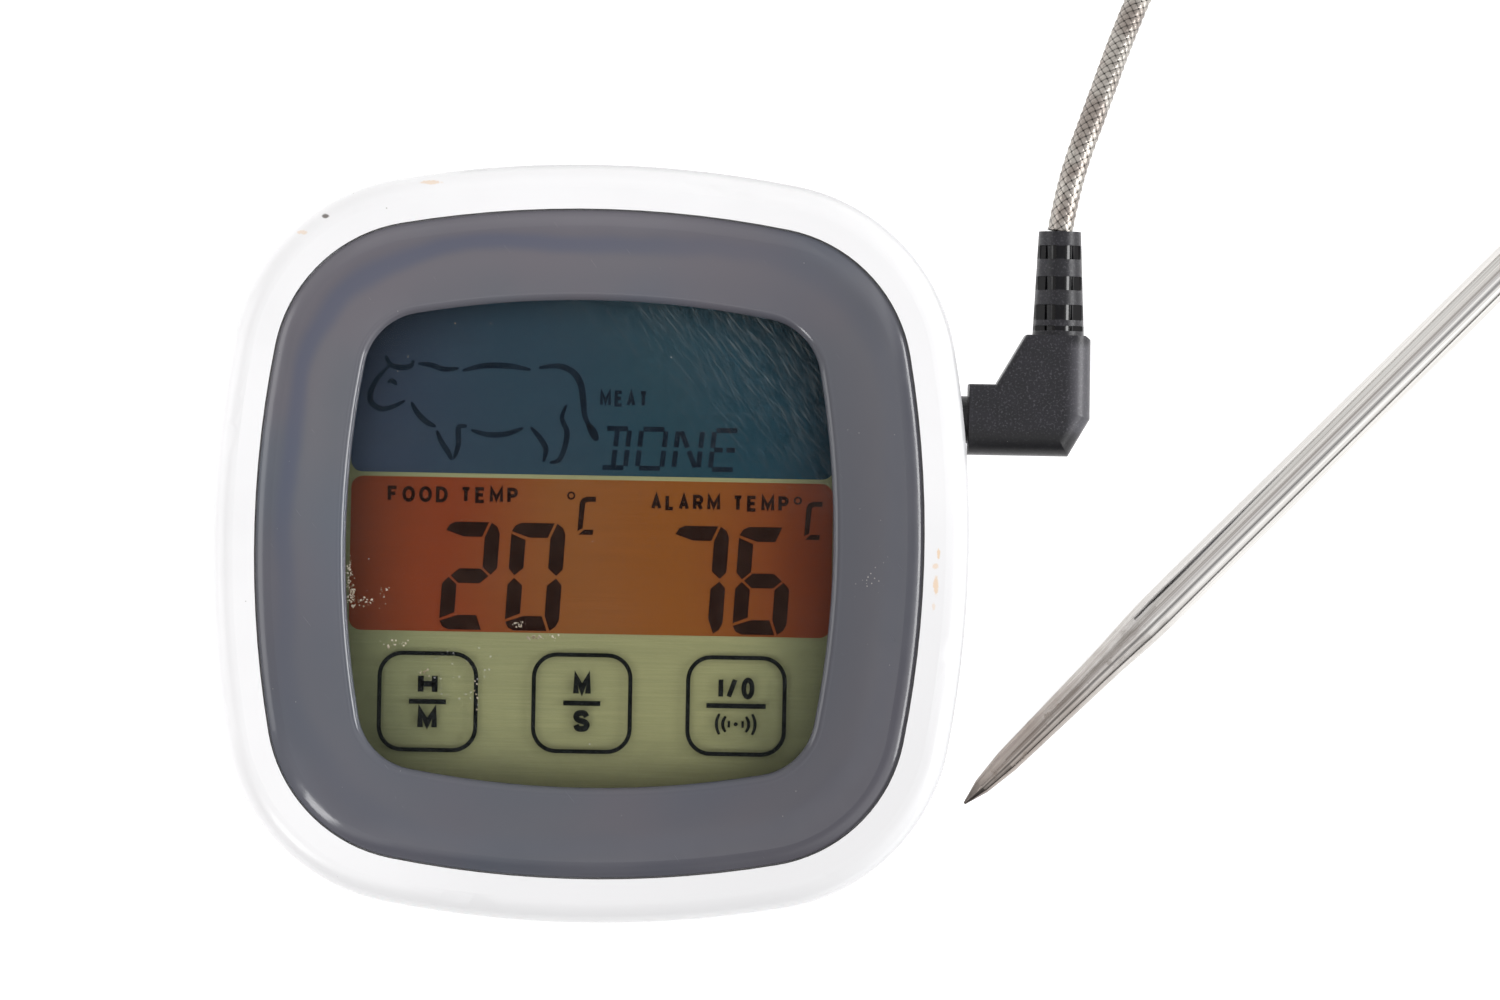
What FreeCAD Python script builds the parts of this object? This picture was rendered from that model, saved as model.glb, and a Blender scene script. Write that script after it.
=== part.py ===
import FreeCAD, Part
import math
import os
from types import SimpleNamespace

import Sketcher
from FreeCAD import Rotation, Vector

# A touch-screen meat thermometer lying on its back: a square white unit with a bezelled
# window, a fold-out stand and a battery door behind, and a steel probe on a braided lead
# that plugs into the unit's right side.  Millimetres; X right, Y towards the top of the
# display, Z out of the display; the origin is the centre of the back face.

DIMENSIONS = (
    # the housing, a square with bulged sides: half its width, and how its arcs are struck
    ("body_half", 36.5),
    ("side_reach", 70.5),
    ("corner_drop", 17.3),
    ("front_z", 21.0),
    ("parting_z", 14.2),
    ("wall", 2.0),
    ("back_wall", 1.8),
    ("ceiling_z", 18.3),
    ("draft_angle", 1.5),
    ("front_round", 2.3),
    ("back_round", 2.0),
    ("seam_bevel", 0.25),
    # the bezel and the window
    ("bezel_half", 31.9),
    ("bezel_gap", 0.15),
    ("bezel_seat_z", 19.7),
    ("bezel_edge_z", 21.0),
    ("bezel_crown_z", 21.5),
    ("window_half", 23.3),
    ("window_edge_z", 20.35),
    ("lens_half", 26.0),
    ("lens_seat_z", 19.0),
    ("lens_thick", 1.3),
    ("opening_half", 24.3),
    ("sensor_half", 24.1),
    ("sensor_thick", 0.3),
    # the display stack under the window
    ("lcd_half", 25.0),
    ("lcd_ledge", 2.3),
    ("lcd_top_z", 18.2),
    ("lcd_thick", 1.6),
    ("film_thick", 0.2),
    ("guide_thick", 1.4),
    ("frame_wall", 1.4),
    ("frame_gap", 0.15),
    ("zebra_wide", 1.5),
    # the circuit board
    ("board_half", 33.0),
    ("board_z", 13.6),
    ("board_thick", 1.2),
    # the battery compartment and its door
    ("bay_half", 25.6),
    ("bay_low_y", -27.4),
    ("bay_high_y", -5.0),
    ("bay_wall", 1.6),
    ("bay_roof_z", 12.5),
    ("bay_corner", 2.0),
    ("door_half", 26.85),
    ("door_low_y", -28.45),
    ("door_axis_y", -5.2),
    ("door_axis_z", 0.85),
    ("door_edge_round", 0.7),
    ("door_gap", 0.15),
    ("door_corner", 4.0),
    ("tab_x", 14.0),
    ("tab_half", 2.0),
    ("cell_round", 5.25),
    ("cell_long", 43.7),
    ("cell_spacing", 10.9),
    ("cell_z", 7.2),
    # the fold-out stand and its pin
    ("stand_half", 17.0),
    ("stand_low_y", 3.2),
    ("stand_thick", 1.6),
    ("stand_z", 0.25),
    ("stand_gap", 0.25),
    ("stand_axis_y", 25.0),
    ("stand_axis_z", 1.7),
    ("barrel_round", 1.35),
    ("pin_round", 0.6),
    ("pin_gap", 0.03),
    ("ear_thick", 2.5),
    ("well_roof", 1.3),
    # the magnets in the back
    ("magnet_x", 25.6),
    ("magnet_y", 15.0),
    ("magnet_round", 5.0),
    ("magnet_thick", 2.0),
    # the fixings
    ("post_round", 2.6),
    ("upper_post_x", 21.0),
    ("upper_post_y", 30.2),
    ("lower_post_x", 30.3),
    ("lower_post_y", -13.0),
    ("board_post_x", 30.0),
    ("board_post_y", -4.0),
    ("screw_round", 1.0),
    ("screw_head_round", 1.9),
    ("screw_web_z", 8.8),
    # the switch and the button in the back
    ("key_x", 25.4),
    ("key_y", 3.2),
    ("slider_travel", 2.5),
    ("button_round", 2.3),
    ("button_travel", 0.5),
    # the jack socket and the angled plug
    ("plug_y", 12.65),
    ("plug_z", 10.6),
    ("plug_face_x", 36.3),
    ("plug_deep", 6.4),
    ("plug_outer_round", 2.0),
    ("plug_inner_round", 0.45),
    ("jack_round", 1.25),
    ("jack_long", 11.0),
    ("jack_gap", 0.05),
    ("neck_round", 2.3),
    ("neck_long", 1.3),
    ("relief_x", 8.6),
    ("relief_y", 8.3),
    ("relief_long", 10.1),
    ("relief_base_round", 2.5),
    ("relief_end_round", 2.05),
    # the lead
    ("cable_round", 1.25),
    ("cable_floor_z", 1.3),
    ("coil_x", 88.0),
    ("coil_y", 90.3),
    ("coil_outer", 17.85),
    ("coil_inner", 8.8),
    ("coil_high", 10.2),
    # the probe
    ("tip_x", 36.9),
    ("tip_y", -25.0),
    ("probe_angle", 45.7),
    ("shank_round", 2.0),
    ("shank_long", 135.0),
    ("seal_long", 6.0),
)


class Size:
    """A size worked out from the sheet: the expression that follows its cells, and its value."""

    def __init__(self, text, value):
        self.text = text
        self.value = value

    def join(self, sign, other, value):
        return Size("(%s %s %s)" % (self.text, sign, text_of(other)), value)

    def __add__(self, other):
        return self.join("+", other, self.value + value_of(other))

    def __radd__(self, other):
        return self + other

    def __sub__(self, other):
        return self.join("-", other, self.value - value_of(other))

    def __rsub__(self, other):
        return -self + other

    def __mul__(self, other):
        return self.join("*", other, self.value * value_of(other))

    def __truediv__(self, other):
        return self.join("/", other, self.value / value_of(other))

    def __neg__(self):
        return Size("(0 - %s)" % self.text, -self.value)


def text_of(size):
    return size.text if isinstance(size, Size) else "(%r)" % float(size)


def value_of(size):
    return size.value if isinstance(size, Size) else float(size)


def build_sheet(doc):
    sheet = doc.addObject("Spreadsheet::Sheet", "Dims")
    sizes = SimpleNamespace()
    for row, (alias, value) in enumerate(DIMENSIONS, 1):
        cell = "A%d" % row
        sheet.set(cell, str(value))
        sheet.setAlias(cell, alias)
        setattr(sizes, alias, Size("Dims." + alias, value))
    doc.recompute()
    return sizes


doc = FreeCAD.newDocument("meat_thermometer")
d = build_sheet(doc)
nodes = []


# ---------------------------------------------------------------- sketches and features

def new_body(label):
    body = doc.addObject("PartDesign::Body", label)
    body.Label = label
    nodes.append(body)
    return body


def new_sketch(body, role, height=0.0):
    sketch = body.newObject("Sketcher::SketchObject", body.Name + "_sketch")
    plane = next(item for item in body.Origin.OriginFeatures if item.Role == role)
    sketch.AttachmentSupport = [(plane, "")]
    sketch.MapMode = "FlatFace"
    sketch.setExpression("AttachmentOffset.Base.z", text_of(height))
    return sketch


def bind(sketch, kind, refs, size):
    index = sketch.addConstraint(Sketcher.Constraint(kind, *refs, value_of(size)))
    sketch.setExpression("Constraints[%d]" % index, text_of(size))


def pin_point(sketch, geometry, position, x, y):
    bind(sketch, "DistanceX", (-1, 1, geometry, position), x)
    bind(sketch, "DistanceY", (-1, 1, geometry, position), y)


def outline(body, half, height=0.0):
    """A square with bulged sides and tangent corners; every outline shares its arc centres."""
    sketch = new_sketch(body, "XY_Plane", height)
    reach, drop = d.side_reach.value, d.corner_drop.value
    centre = (math.sqrt(2 * (reach + drop) ** 2 - reach ** 2) - reach) / 2
    side_round, corner_round = half + d.side_reach, half - d.corner_drop
    spread = math.atan2(centre, centre + reach)
    up = Vector(0, 0, 1)
    for quarter in range(4):
        turn = quarter * math.pi / 2
        spin = Rotation(up, math.degrees(turn))
        side = Part.Circle(spin.multVec(Vector(-reach, 0, 0)), up, side_round.value)
        corner = Part.Circle(spin.multVec(Vector(centre, centre, 0)), up, corner_round.value)
        sketch.addGeometry(Part.ArcOfCircle(side, turn - spread, turn + spread), False)
        sketch.addGeometry(Part.ArcOfCircle(corner, turn + spread, turn + math.pi / 2 - spread), False)
    for arc in range(8):
        sketch.addConstraint(Sketcher.Constraint("Tangent", arc, 2, (arc + 1) % 8, 1))
    for quarter in range(4):
        axis = -1 if quarter % 2 == 0 else -2
        sketch.addConstraint(Sketcher.Constraint("PointOnObject", 2 * quarter, 3, axis))
    for quarter in (1, 2, 3):
        sketch.addConstraint(Sketcher.Constraint("Equal", 0, 2 * quarter))
        sketch.addConstraint(Sketcher.Constraint("Equal", 1, 2 * quarter + 1))
    bind(sketch, "DistanceX", (0, 3, -1, 1), d.side_reach)
    bind(sketch, "DistanceY", (2, 3, -1, 1), d.side_reach)
    bind(sketch, "Radius", (0,), side_round)
    bind(sketch, "Radius", (1,), corner_round)
    return sketch


def bowed_side(start, via, stop):
    """The arc through three points, and whether it runs anticlockwise from start to stop."""
    centre = Part.Arc(start, via, stop).toShape().Curve.Center
    forward = (via - start).cross(stop - via).z > 0
    first, last = (start, stop) if forward else (stop, start)
    low = math.atan2(first.y - centre.y, first.x - centre.x)
    high = math.atan2(last.y - centre.y, last.x - centre.x)
    circle = Part.Circle(centre, Vector(0, 0, 1), (start - centre).Length)
    return Part.ArcOfCircle(circle, low, high), forward


def profile(body, role, points, arcs=None, height=0.0):
    """A closed profile through points; arcs names the point that a bowed side passes through."""
    sketch = new_sketch(body, role, height)
    arcs = arcs or {}
    places = [Vector(value_of(x), value_of(y), 0) for x, y in points]
    count = len(places)
    ends = []
    for side, start in enumerate(places):
        stop = places[(side + 1) % count]
        forward = True
        geometry = Part.LineSegment(start, stop)
        if side in arcs:
            via = Vector(value_of(arcs[side][0]), value_of(arcs[side][1]), 0)
            geometry, forward = bowed_side(start, via, stop)
        sketch.addGeometry(geometry, False)
        ends.append((1, 2) if forward else (2, 1))
    for side in range(count):
        follower = (side + 1) % count
        refs = (side, ends[side][1], follower, ends[follower][0])
        sketch.addConstraint(Sketcher.Constraint("Coincident", *refs))
    for side, (x, y) in enumerate(points):
        pin_point(sketch, side, ends[side][0], x, y)
    for side, (x, y) in arcs.items():
        mark = sketch.addGeometry(Part.Point(Vector(value_of(x), value_of(y), 0)), True)
        pin_point(sketch, mark, 1, x, y)
        sketch.addConstraint(Sketcher.Constraint("PointOnObject", mark, 1, side))
    return sketch


def soft_rectangle(body, x, y, radius, height=0.0, low_only=False):
    """A rectangle with round corners, or with only its two low-Y corners round."""
    near = radius * (1 - math.sqrt(0.5))
    points = [(x[0] + radius, y[0]), (x[1] - radius, y[0]), (x[1], y[0] + radius)]
    arcs = {1: (x[1] - near, y[0] + near)}
    if low_only:
        points += [(x[1], y[1]), (x[0], y[1])]
    else:
        points += [(x[1], y[1] - radius), (x[1] - radius, y[1])]
        points += [(x[0] + radius, y[1]), (x[0], y[1] - radius)]
        arcs[3] = (x[1] - near, y[1] - near)
        arcs[5] = (x[0] + near, y[1] - near)
    points.append((x[0], y[0] + radius))
    arcs[len(points) - 1] = (x[0] + near, y[0] + near)
    return profile(body, "XY_Plane", points, arcs, height)


def rectangle(body, x, y, height=0.0, role="XY_Plane"):
    corners = ((x[0], y[0]), (x[1], y[0]), (x[1], y[1]), (x[0], y[1]))
    return profile(body, role, corners, height=height)


def circles(body, places, radius, height=0.0, role="XY_Plane"):
    sketch = new_sketch(body, role, height)
    for index, (x, y) in enumerate(places):
        centre = Vector(value_of(x), value_of(y), 0)
        sketch.addGeometry(Part.Circle(centre, Vector(0, 0, 1), value_of(radius)), False)
        pin_point(sketch, index, 3, x, y)
        bind(sketch, "Radius", (index,), radius)
    return sketch


def finish_feature(body, feature, grows):
    before = feature.BaseFeature.Shape.Volume if feature.BaseFeature else 0.0
    doc.recompute()
    after = feature.Shape.Volume
    if (after > before) != grows:
        raise RuntimeError("%s has not changed its body as meant" % feature.Label)
    return feature


def pad(body, sketch, length, down=False, taper=None, both=False):
    feature = body.newObject("PartDesign::Pad", body.Name + "_pad")
    feature.Profile = sketch
    feature.Reversed = down
    feature.setExpression("Length", text_of(length))
    if both:
        feature.SideType = "Symmetric"
    if taper is not None:
        feature.setExpression("TaperAngle", text_of(taper))
    return finish_feature(body, feature, True)


def pocket(body, sketch, length, up=False, both=False):
    feature = body.newObject("PartDesign::Pocket", body.Name + "_pocket")
    feature.Profile = sketch
    feature.Reversed = up
    feature.setExpression("Length", text_of(length))
    if both:
        feature.SideType = "Symmetric"
    return finish_feature(body, feature, False)


def revolve(body, sketch, axis):
    feature = body.newObject("PartDesign::Revolution", body.Name + "_revolution")
    feature.Profile = sketch
    feature.ReferenceAxis = (sketch, [axis])
    feature.Angle = 360
    return finish_feature(body, feature, True)


def dress(body, kind, size, chosen):
    """Round ("Fillet") or bevel ("Chamfer") the body's edges that chosen() picks."""
    base = body.Tip
    names = []
    for index, edge in enumerate(base.Shape.Edges, 1):
        if chosen(edge):
            names.append("Edge%d" % index)
    feature = body.newObject("PartDesign::" + kind, body.Name + "_" + kind.lower())
    feature.Base = (base, names)
    feature.setExpression("Radius" if kind == "Fillet" else "Size", text_of(size))
    doc.recompute()
    return feature


def lies_at(edge, z, slack=0.01):
    box = edge.BoundBox
    return abs(box.ZMin - value_of(z)) < slack and abs(box.ZMax - value_of(z)) < slack


# ---------------------------------------------------------------- primitives and booleans

def block(name, x, y, z):
    item = doc.addObject("Part::Box", name)
    for prop, (low, high) in (("Length", x), ("Width", y), ("Height", z)):
        item.setExpression(prop, "%s - %s" % (text_of(high), text_of(low)))
    for axis, (low, high) in (("x", x), ("y", y), ("z", z)):
        item.setExpression("Placement.Base." + axis, text_of(low))
    return item


AIMS = {
    "+X": Rotation(Vector(0, 1, 0), 90),
    "-X": Rotation(Vector(0, 1, 0), -90),
    "+Y": Rotation(Vector(1, 0, 0), -90),
    "+Z": Rotation(),
}


def place(item, at, aim):
    item.Placement = FreeCAD.Placement(Vector(), AIMS[aim])
    for axis, size in zip("xyz", at):
        item.setExpression("Placement.Base." + axis, text_of(size))


def rod(name, at, aim, radius, length):
    item = doc.addObject("Part::Cylinder", name)
    item.setExpression("Radius", text_of(radius))
    item.setExpression("Height", text_of(length))
    place(item, at, aim)
    return item


def cone(name, at, aim, radii, length):
    item = doc.addObject("Part::Cone", name)
    item.setExpression("Radius1", text_of(radii[0]))
    item.setExpression("Radius2", text_of(radii[1]))
    item.setExpression("Height", text_of(length))
    place(item, at, aim)
    return item


def cut(name, base, tools):
    for index, tool in enumerate(tools):
        item = doc.addObject("Part::Cut", "%s_cut%d" % (name, index))
        item.Base = base
        item.Tool = tool
        base = item
    return base


def fuse(name, parts):
    item = doc.addObject("Part::MultiFuse", name + "_fused")
    item.Shapes = parts
    item.Refine = True
    return item


def group(name, parts):
    item = doc.addObject("Part::Compound", name + "_set")
    item.Links = parts
    return item


def keep(item, label):
    item.Label = label
    nodes.append(item)
    return item


def both_sides(x):
    return (-x, x)


# ---------------------------------------------------------------- the housing

def screw_places():
    upper = [(x, d.upper_post_y) for x in both_sides(d.upper_post_x)]
    lower = [(x, d.lower_post_y) for x in both_sides(d.lower_post_x)]
    return upper + lower


def board_screw_places():
    return [(x, d.board_post_y) for x in both_sides(d.board_post_x)]


def build_back_housing():
    body = new_body("back_housing")
    half = d.body_half
    pad(body, outline(body, half, d.parting_z), d.parting_z, down=True, taper=-d.draft_angle)
    dress(body, "Fillet", d.back_round, lambda edge: lies_at(edge, 0))
    dress(body, "Chamfer", d.seam_bevel, lambda edge: lies_at(edge, d.parting_z))
    pocket(body, outline(body, half - d.wall, d.parting_z), d.parting_z - d.back_wall)
    add_back_blocks(body)
    cut_battery_bay(body)
    cut_stand_well(body)
    magnets = [(x, d.magnet_y) for x in both_sides(d.magnet_x)]
    pocket(body, circles(body, magnets, d.magnet_round + 0.1), d.magnet_thick + 0.15, up=True)
    pocket(body, circles(body, screw_places(), d.screw_head_round + 0.25), d.screw_web_z, up=True)
    pocket(body, circles(body, screw_places(), d.screw_round + 0.15), d.board_z, up=True)
    cut_key_openings(body)
    hole = circles(body, [(d.plug_y, d.plug_z)], d.neck_round + 0.15, 30, "YZ_Plane")
    pocket(body, hole, 10, up=True)


def add_back_blocks(body):
    """The walls round the batteries, the roofs over the stand and magnets, and the posts."""
    wall = d.bay_wall
    bay_x = (-d.bay_half - wall, d.bay_half + wall)
    bay_y = (d.bay_low_y - wall, d.bay_high_y + wall)
    pad(body, rectangle(body, bay_x, bay_y, 1.0), d.bay_roof_z)
    reach = d.stand_half + d.stand_gap + d.ear_thick
    well_y = (d.stand_low_y - 4.0, d.stand_axis_y + 3.2)
    well_top = d.stand_axis_z + d.barrel_round + 0.2 + d.well_roof
    pad(body, rectangle(body, (-reach, reach), well_y, 1.0), well_top - 1.0)
    magnets = [(x, d.magnet_y) for x in both_sides(d.magnet_x)]
    pad(body, circles(body, magnets, d.magnet_round + 1.2, 1.0), d.magnet_thick + 0.5)
    pad(body, circles(body, screw_places(), d.post_round, 1.0), d.board_z - 1.0)


def cut_battery_bay(body):
    bay_x = (-d.bay_half, d.bay_half)
    bay_y = (d.bay_low_y, d.bay_high_y)
    rebate_half = d.door_half + d.door_gap
    rebate_y = (d.door_low_y - d.door_gap, d.door_axis_y + d.door_edge_round + 0.2)
    pocket(body, rectangle(body, bay_x, bay_y), d.bay_roof_z, up=True)
    rebate = soft_rectangle(body, (-rebate_half, rebate_half), rebate_y, d.door_corner, low_only=True)
    pocket(body, rebate, d.door_axis_z + d.door_edge_round + 0.1, up=True)
    for x in both_sides(d.tab_x):
        slot_x = (x - d.tab_half - 0.25, x + d.tab_half + 0.25)
        slot_y = (d.door_axis_y - 0.6, d.door_axis_y + 2.2)
        pocket(body, rectangle(body, slot_x, slot_y, 0.45), 2.5, up=True)


def cut_stand_well(body):
    reach = d.stand_half + d.stand_gap
    well_y = (d.stand_low_y - d.stand_gap, d.stand_axis_y + d.barrel_round + 0.35)
    pocket(body, rectangle(body, (-reach, reach), well_y), d.stand_z + d.stand_thick + 0.3, up=True)
    barrel_y = (d.stand_axis_y - d.barrel_round - 0.5, d.stand_axis_y + d.barrel_round + 0.35)
    barrel = rectangle(body, (-reach, reach), barrel_y)
    pocket(body, barrel, d.stand_axis_z + d.barrel_round + 0.2, up=True)
    scoop_y = (d.stand_low_y - 2.3, d.stand_low_y)
    pocket(body, rectangle(body, (-6, 6), scoop_y), 1.6, up=True)
    seat = circles(body, [(d.stand_axis_y, d.stand_axis_z)], d.pin_round + d.pin_gap, 0, "YZ_Plane")
    pocket(body, seat, (reach + d.ear_thick) * 2 - 1.0, both=True)


def cut_key_openings(body):
    slot_x = (-d.key_x - 3.6, -d.key_x + 3.6)
    slot_y = (d.key_y - 1.8, d.key_y + 1.8)
    pocket(body, rectangle(body, slot_x, slot_y), d.back_wall, up=True)
    hole = circles(body, [(d.key_x, d.key_y)], d.button_round + 0.15)
    pocket(body, hole, d.back_wall, up=True)


def build_front_housing():
    body = new_body("front_housing")
    half = d.body_half
    tall = d.front_z - d.parting_z
    pad(body, outline(body, half, d.parting_z), tall, taper=-d.draft_angle)
    dress(body, "Fillet", d.front_round, lambda edge: lies_at(edge, d.front_z))
    dress(body, "Chamfer", d.seam_bevel, lambda edge: lies_at(edge, d.parting_z))
    inside = outline(body, half - d.wall - 0.2, d.parting_z)
    pocket(body, inside, d.ceiling_z - d.parting_z, up=True)
    bezel_seat = outline(body, d.bezel_half + d.bezel_gap, d.front_z)
    pocket(body, bezel_seat, d.front_z - d.bezel_seat_z)
    lens_seat = outline(body, d.lens_half + d.bezel_gap, d.front_z)
    pocket(body, lens_seat, d.front_z - d.lens_seat_z)
    pocket(body, outline(body, d.opening_half, d.front_z), tall)
    posts = screw_places() + board_screw_places()
    board_top = d.board_z + d.board_thick
    pad(body, circles(body, posts, d.post_round - 0.3, board_top), d.ceiling_z - board_top + 0.3)
    holes = circles(body, screw_places(), d.screw_round + 0.02, board_top)
    pocket(body, holes, d.ceiling_z - board_top, up=True)
    holes = circles(body, board_screw_places(), d.screw_round - 0.18, board_top)
    pocket(body, holes, d.ceiling_z - board_top, up=True)


def build_bezel():
    body = new_body("bezel")
    spine = outline(body, d.bezel_half, d.bezel_seat_z)
    inner = d.window_half
    outer = d.bezel_half
    step = d.lens_half + d.bezel_gap
    points = (
        (step, d.bezel_seat_z),
        (outer, d.bezel_seat_z),
        (outer, d.bezel_edge_z - 0.35),
        (outer - 1.5, d.bezel_edge_z + 0.25),
        (inner + 0.9, d.bezel_crown_z - 0.12),
        (inner, d.window_edge_z + 0.25),
        (inner, d.window_edge_z),
        (step, d.window_edge_z),
    )
    arcs = {
        2: (outer - 0.714, d.bezel_edge_z + 0.04),
        3: (outer - 4.8, d.bezel_crown_z),
        4: (inner + 0.25, d.bezel_crown_z - 0.33),
    }
    section = profile(body, "XZ_Plane", points, arcs)
    pipe = body.newObject("PartDesign::AdditivePipe", "bezel_pipe")
    pipe.Profile = section
    pipe.Spine = (spine, [])
    doc.recompute()


def build_lens():
    body = new_body("touch_lens")
    pad(body, outline(body, d.lens_half, d.lens_seat_z), d.lens_thick)
    sensor = new_body("touch_sensor")
    pad(sensor, outline(sensor, d.sensor_half, d.lens_seat_z), d.sensor_thick, down=True)


# ---------------------------------------------------------------- the display and the board

def build_display():
    half = d.lcd_half
    top = d.lcd_top_z
    ledge = -half - d.lcd_ledge
    lcd_low = top - d.lcd_thick
    film_low = lcd_low - d.film_thick
    guide_low = film_low - d.guide_thick
    board_top = d.board_z + d.board_thick
    keep(block("lcd_glass", (-half, half), (ledge, half), (lcd_low, top)), "lcd_glass")
    keep(block("colour_film", (-half, half), (-half, half), (film_low, lcd_low)), "colour_film")
    keep(block("light_guide", (-half, half), (-half, half), (guide_low, film_low)), "light_guide")
    strip_y = (ledge + 0.4, ledge + 0.4 + d.zebra_wide)
    strip_x = (-half + 2, half - 2)
    keep(block("zebra_strip", strip_x, strip_y, (board_top, lcd_low)), "zebra_strip")
    gap = d.frame_gap
    wall = d.frame_wall
    outside = (-half - gap - wall, half + gap + wall)
    inside = (-half - gap, half + gap)
    outside_y = (ledge - gap - wall, half + gap + wall)
    inside_y = (ledge - gap, half + gap)
    outer = block("frame_outer", outside, outside_y, (board_top, top))
    inner = block("frame_inner", inside, inside_y, (board_top - 1, top + 1))
    keep(cut("lcd_frame", outer, [inner]), "lcd_frame")


def build_board():
    body = new_body("main_board")
    pad(body, outline(body, d.board_half, d.board_z), d.board_thick)
    holes = circles(body, screw_places(), d.screw_round + 0.25, d.board_z)
    pocket(body, holes, d.board_thick, up=True)
    holes = circles(body, board_screw_places(), d.screw_round - 0.05, d.board_z)
    pocket(body, holes, d.board_thick, up=True)
    chip = cone("chip_dome", (4, 16, d.board_z - 1.6), "+Z", (3.0, 5.0), 1.6)
    keep(chip, "controller_chip")
    case = rod("buzzer_case", (-9, 14, d.board_z - 5.5), "+Z", 5.5, 5.5)
    mouth = rod("buzzer_mouth", (-9, 14, d.board_z - 6), "+Z", 1.2, 2.5)
    keep(cut("buzzer", case, [mouth]), "buzzer")


def build_socket():
    half = 3.1
    low_z = d.plug_z - 2.8
    y = (d.plug_y - half, d.plug_y + half)
    case = block("socket_case", (22.6, 33.3), y, (low_z, d.board_z))
    bore = rod("socket_bore", (23.2, d.plug_y, d.plug_z), "+X", d.jack_round + d.jack_gap, 12)
    keep(cut("jack_socket", case, [bore]), "jack_socket")


def screw(name, x, y, head_z, head_round, shank_round, head_tall, length):
    head = rod(name + "_head", (x, y, head_z), "+Z", head_round, head_tall)
    shank = rod(name + "_shank", (x, y, head_z), "+Z", shank_round, length)
    slot = block(name + "_slot", (x - 1.2, x + 1.2), (y - 0.22, y + 0.22), (head_z - 0.1, head_z + 0.6))
    cross = block(name + "_cross", (x - 0.22, x + 0.22), (y - 1.2, y + 1.2), (head_z - 0.1, head_z + 0.6))
    return cut(name, fuse(name, [head, shank]), [slot, cross])


def build_screws():
    screws = []
    for index, (x, y) in enumerate(screw_places()):
        head_z = d.screw_web_z - 1.4
        item = screw("case_screw%d" % index, x, y, head_z, d.screw_head_round, d.screw_round, 1.4, 10)
        screws.append(item)
    keep(group("housing_screws", screws), "housing_screws")
    screws = []
    for index, (x, y) in enumerate(board_screw_places()):
        head_z = d.board_z - 1.1
        item = screw("board_screw%d" % index, x, y, head_z, 1.7, d.screw_round - 0.2, 1.1, 4.4)
        screws.append(item)
    keep(group("board_screws", screws), "board_screws")


# ---------------------------------------------------------------- the batteries and their door

def build_batteries():
    bay_middle = (d.bay_low_y + d.bay_high_y) / 2
    contacts = []
    springs = []
    for index, side in enumerate((-1, 1)):
        y = bay_middle + d.cell_spacing * (side / 2)
        start = d.cell_long * (-side / 2)
        aim = "+X" if side > 0 else "-X"
        can = rod("cell_can%d" % index, (start, y, d.cell_z), aim, d.cell_round, d.cell_long)
        tip = rod("cell_tip%d" % index, (start, y, d.cell_z), aim, 1.9, d.cell_long + 0.9)
        label = "battery_upper" if side > 0 else "battery_lower"
        keep(fuse(label, [can, tip]), label)
        plate_x = ordered(side, d.bay_half - 0.5, d.bay_half - 0.1)
        plate = block("plate%d" % index, plate_x, (y - 4, y + 4), (3.2, 11.2))
        stud_x = ordered(side, d.cell_long / 2 + 0.95, d.bay_half - 0.3)
        stud = block("stud%d" % index, stud_x, (y - 1.5, y + 1.5), (5.7, 8.7))
        contacts.append(fuse("contact%d" % index, [plate, stud]))
        springs.append(spring_contact("spring%d" % index, -side, y))
    keep(group("battery_plates", contacts), "battery_plates")
    keep(group("battery_springs", springs), "battery_springs")


def ordered(side, near, far):
    return (near, far) if side > 0 else (-far, -near)


def spring_contact(name, side, y):
    """A plate on the wall with three shrinking rings that press on the cell's flat end."""
    plate_x = ordered(side, d.bay_half - 0.5, d.bay_half - 0.1)
    parts = [block(name + "_plate", plate_x, (y - 4, y + 4), (3.2, 11.2))]
    aim = "+X" if side > 0 else "-X"
    span = d.bay_half - 0.5 - d.cell_long / 2 - 0.05
    for ring in range(3):
        depth = span / 3
        start = d.cell_long / 2 + 0.05 + depth * ring
        at = (start if side > 0 else -start, y, d.cell_z)
        wide = 2.2 + 0.7 * ring
        parts.append(cone("%s_ring%d" % (name, ring), at, aim, (wide, wide + 0.45), depth))
    return fuse(name, parts)


def build_door():
    body = new_body("battery_door")
    low_z = d.door_axis_z - d.door_edge_round
    plate_y = (d.door_low_y, d.door_axis_y)
    corner = d.door_corner - d.door_gap
    plate = soft_rectangle(body, (-d.door_half, d.door_half), plate_y, corner, low_z, low_only=True)
    pad(body, plate, d.door_edge_round * 2)
    edge = circles(body, [(d.door_axis_y, d.door_axis_z)], d.door_edge_round, 0, "YZ_Plane")
    pad(body, edge, d.door_half * 2, both=True)
    for x in both_sides(d.tab_x):
        tab_y = (d.door_axis_y, d.door_axis_y + 1.75)
        tab = rectangle(body, (x - d.tab_half, x + d.tab_half), tab_y, d.door_axis_z - 0.3)
        pad(body, tab, 0.6)
    latch = rectangle(body, (-5, 5), (d.bay_low_y + 0.4, d.bay_low_y + 1.0), d.door_axis_z)
    pad(body, latch, 3.1)
    for index in range(5):
        y = d.door_low_y + 3.0 + index * 1.1
        groove = rectangle(body, (-6, 6), (y, y + 0.45), low_z)
        pocket(body, groove, 0.3, up=True)


# ---------------------------------------------------------------- the stand, magnets and keys

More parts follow.
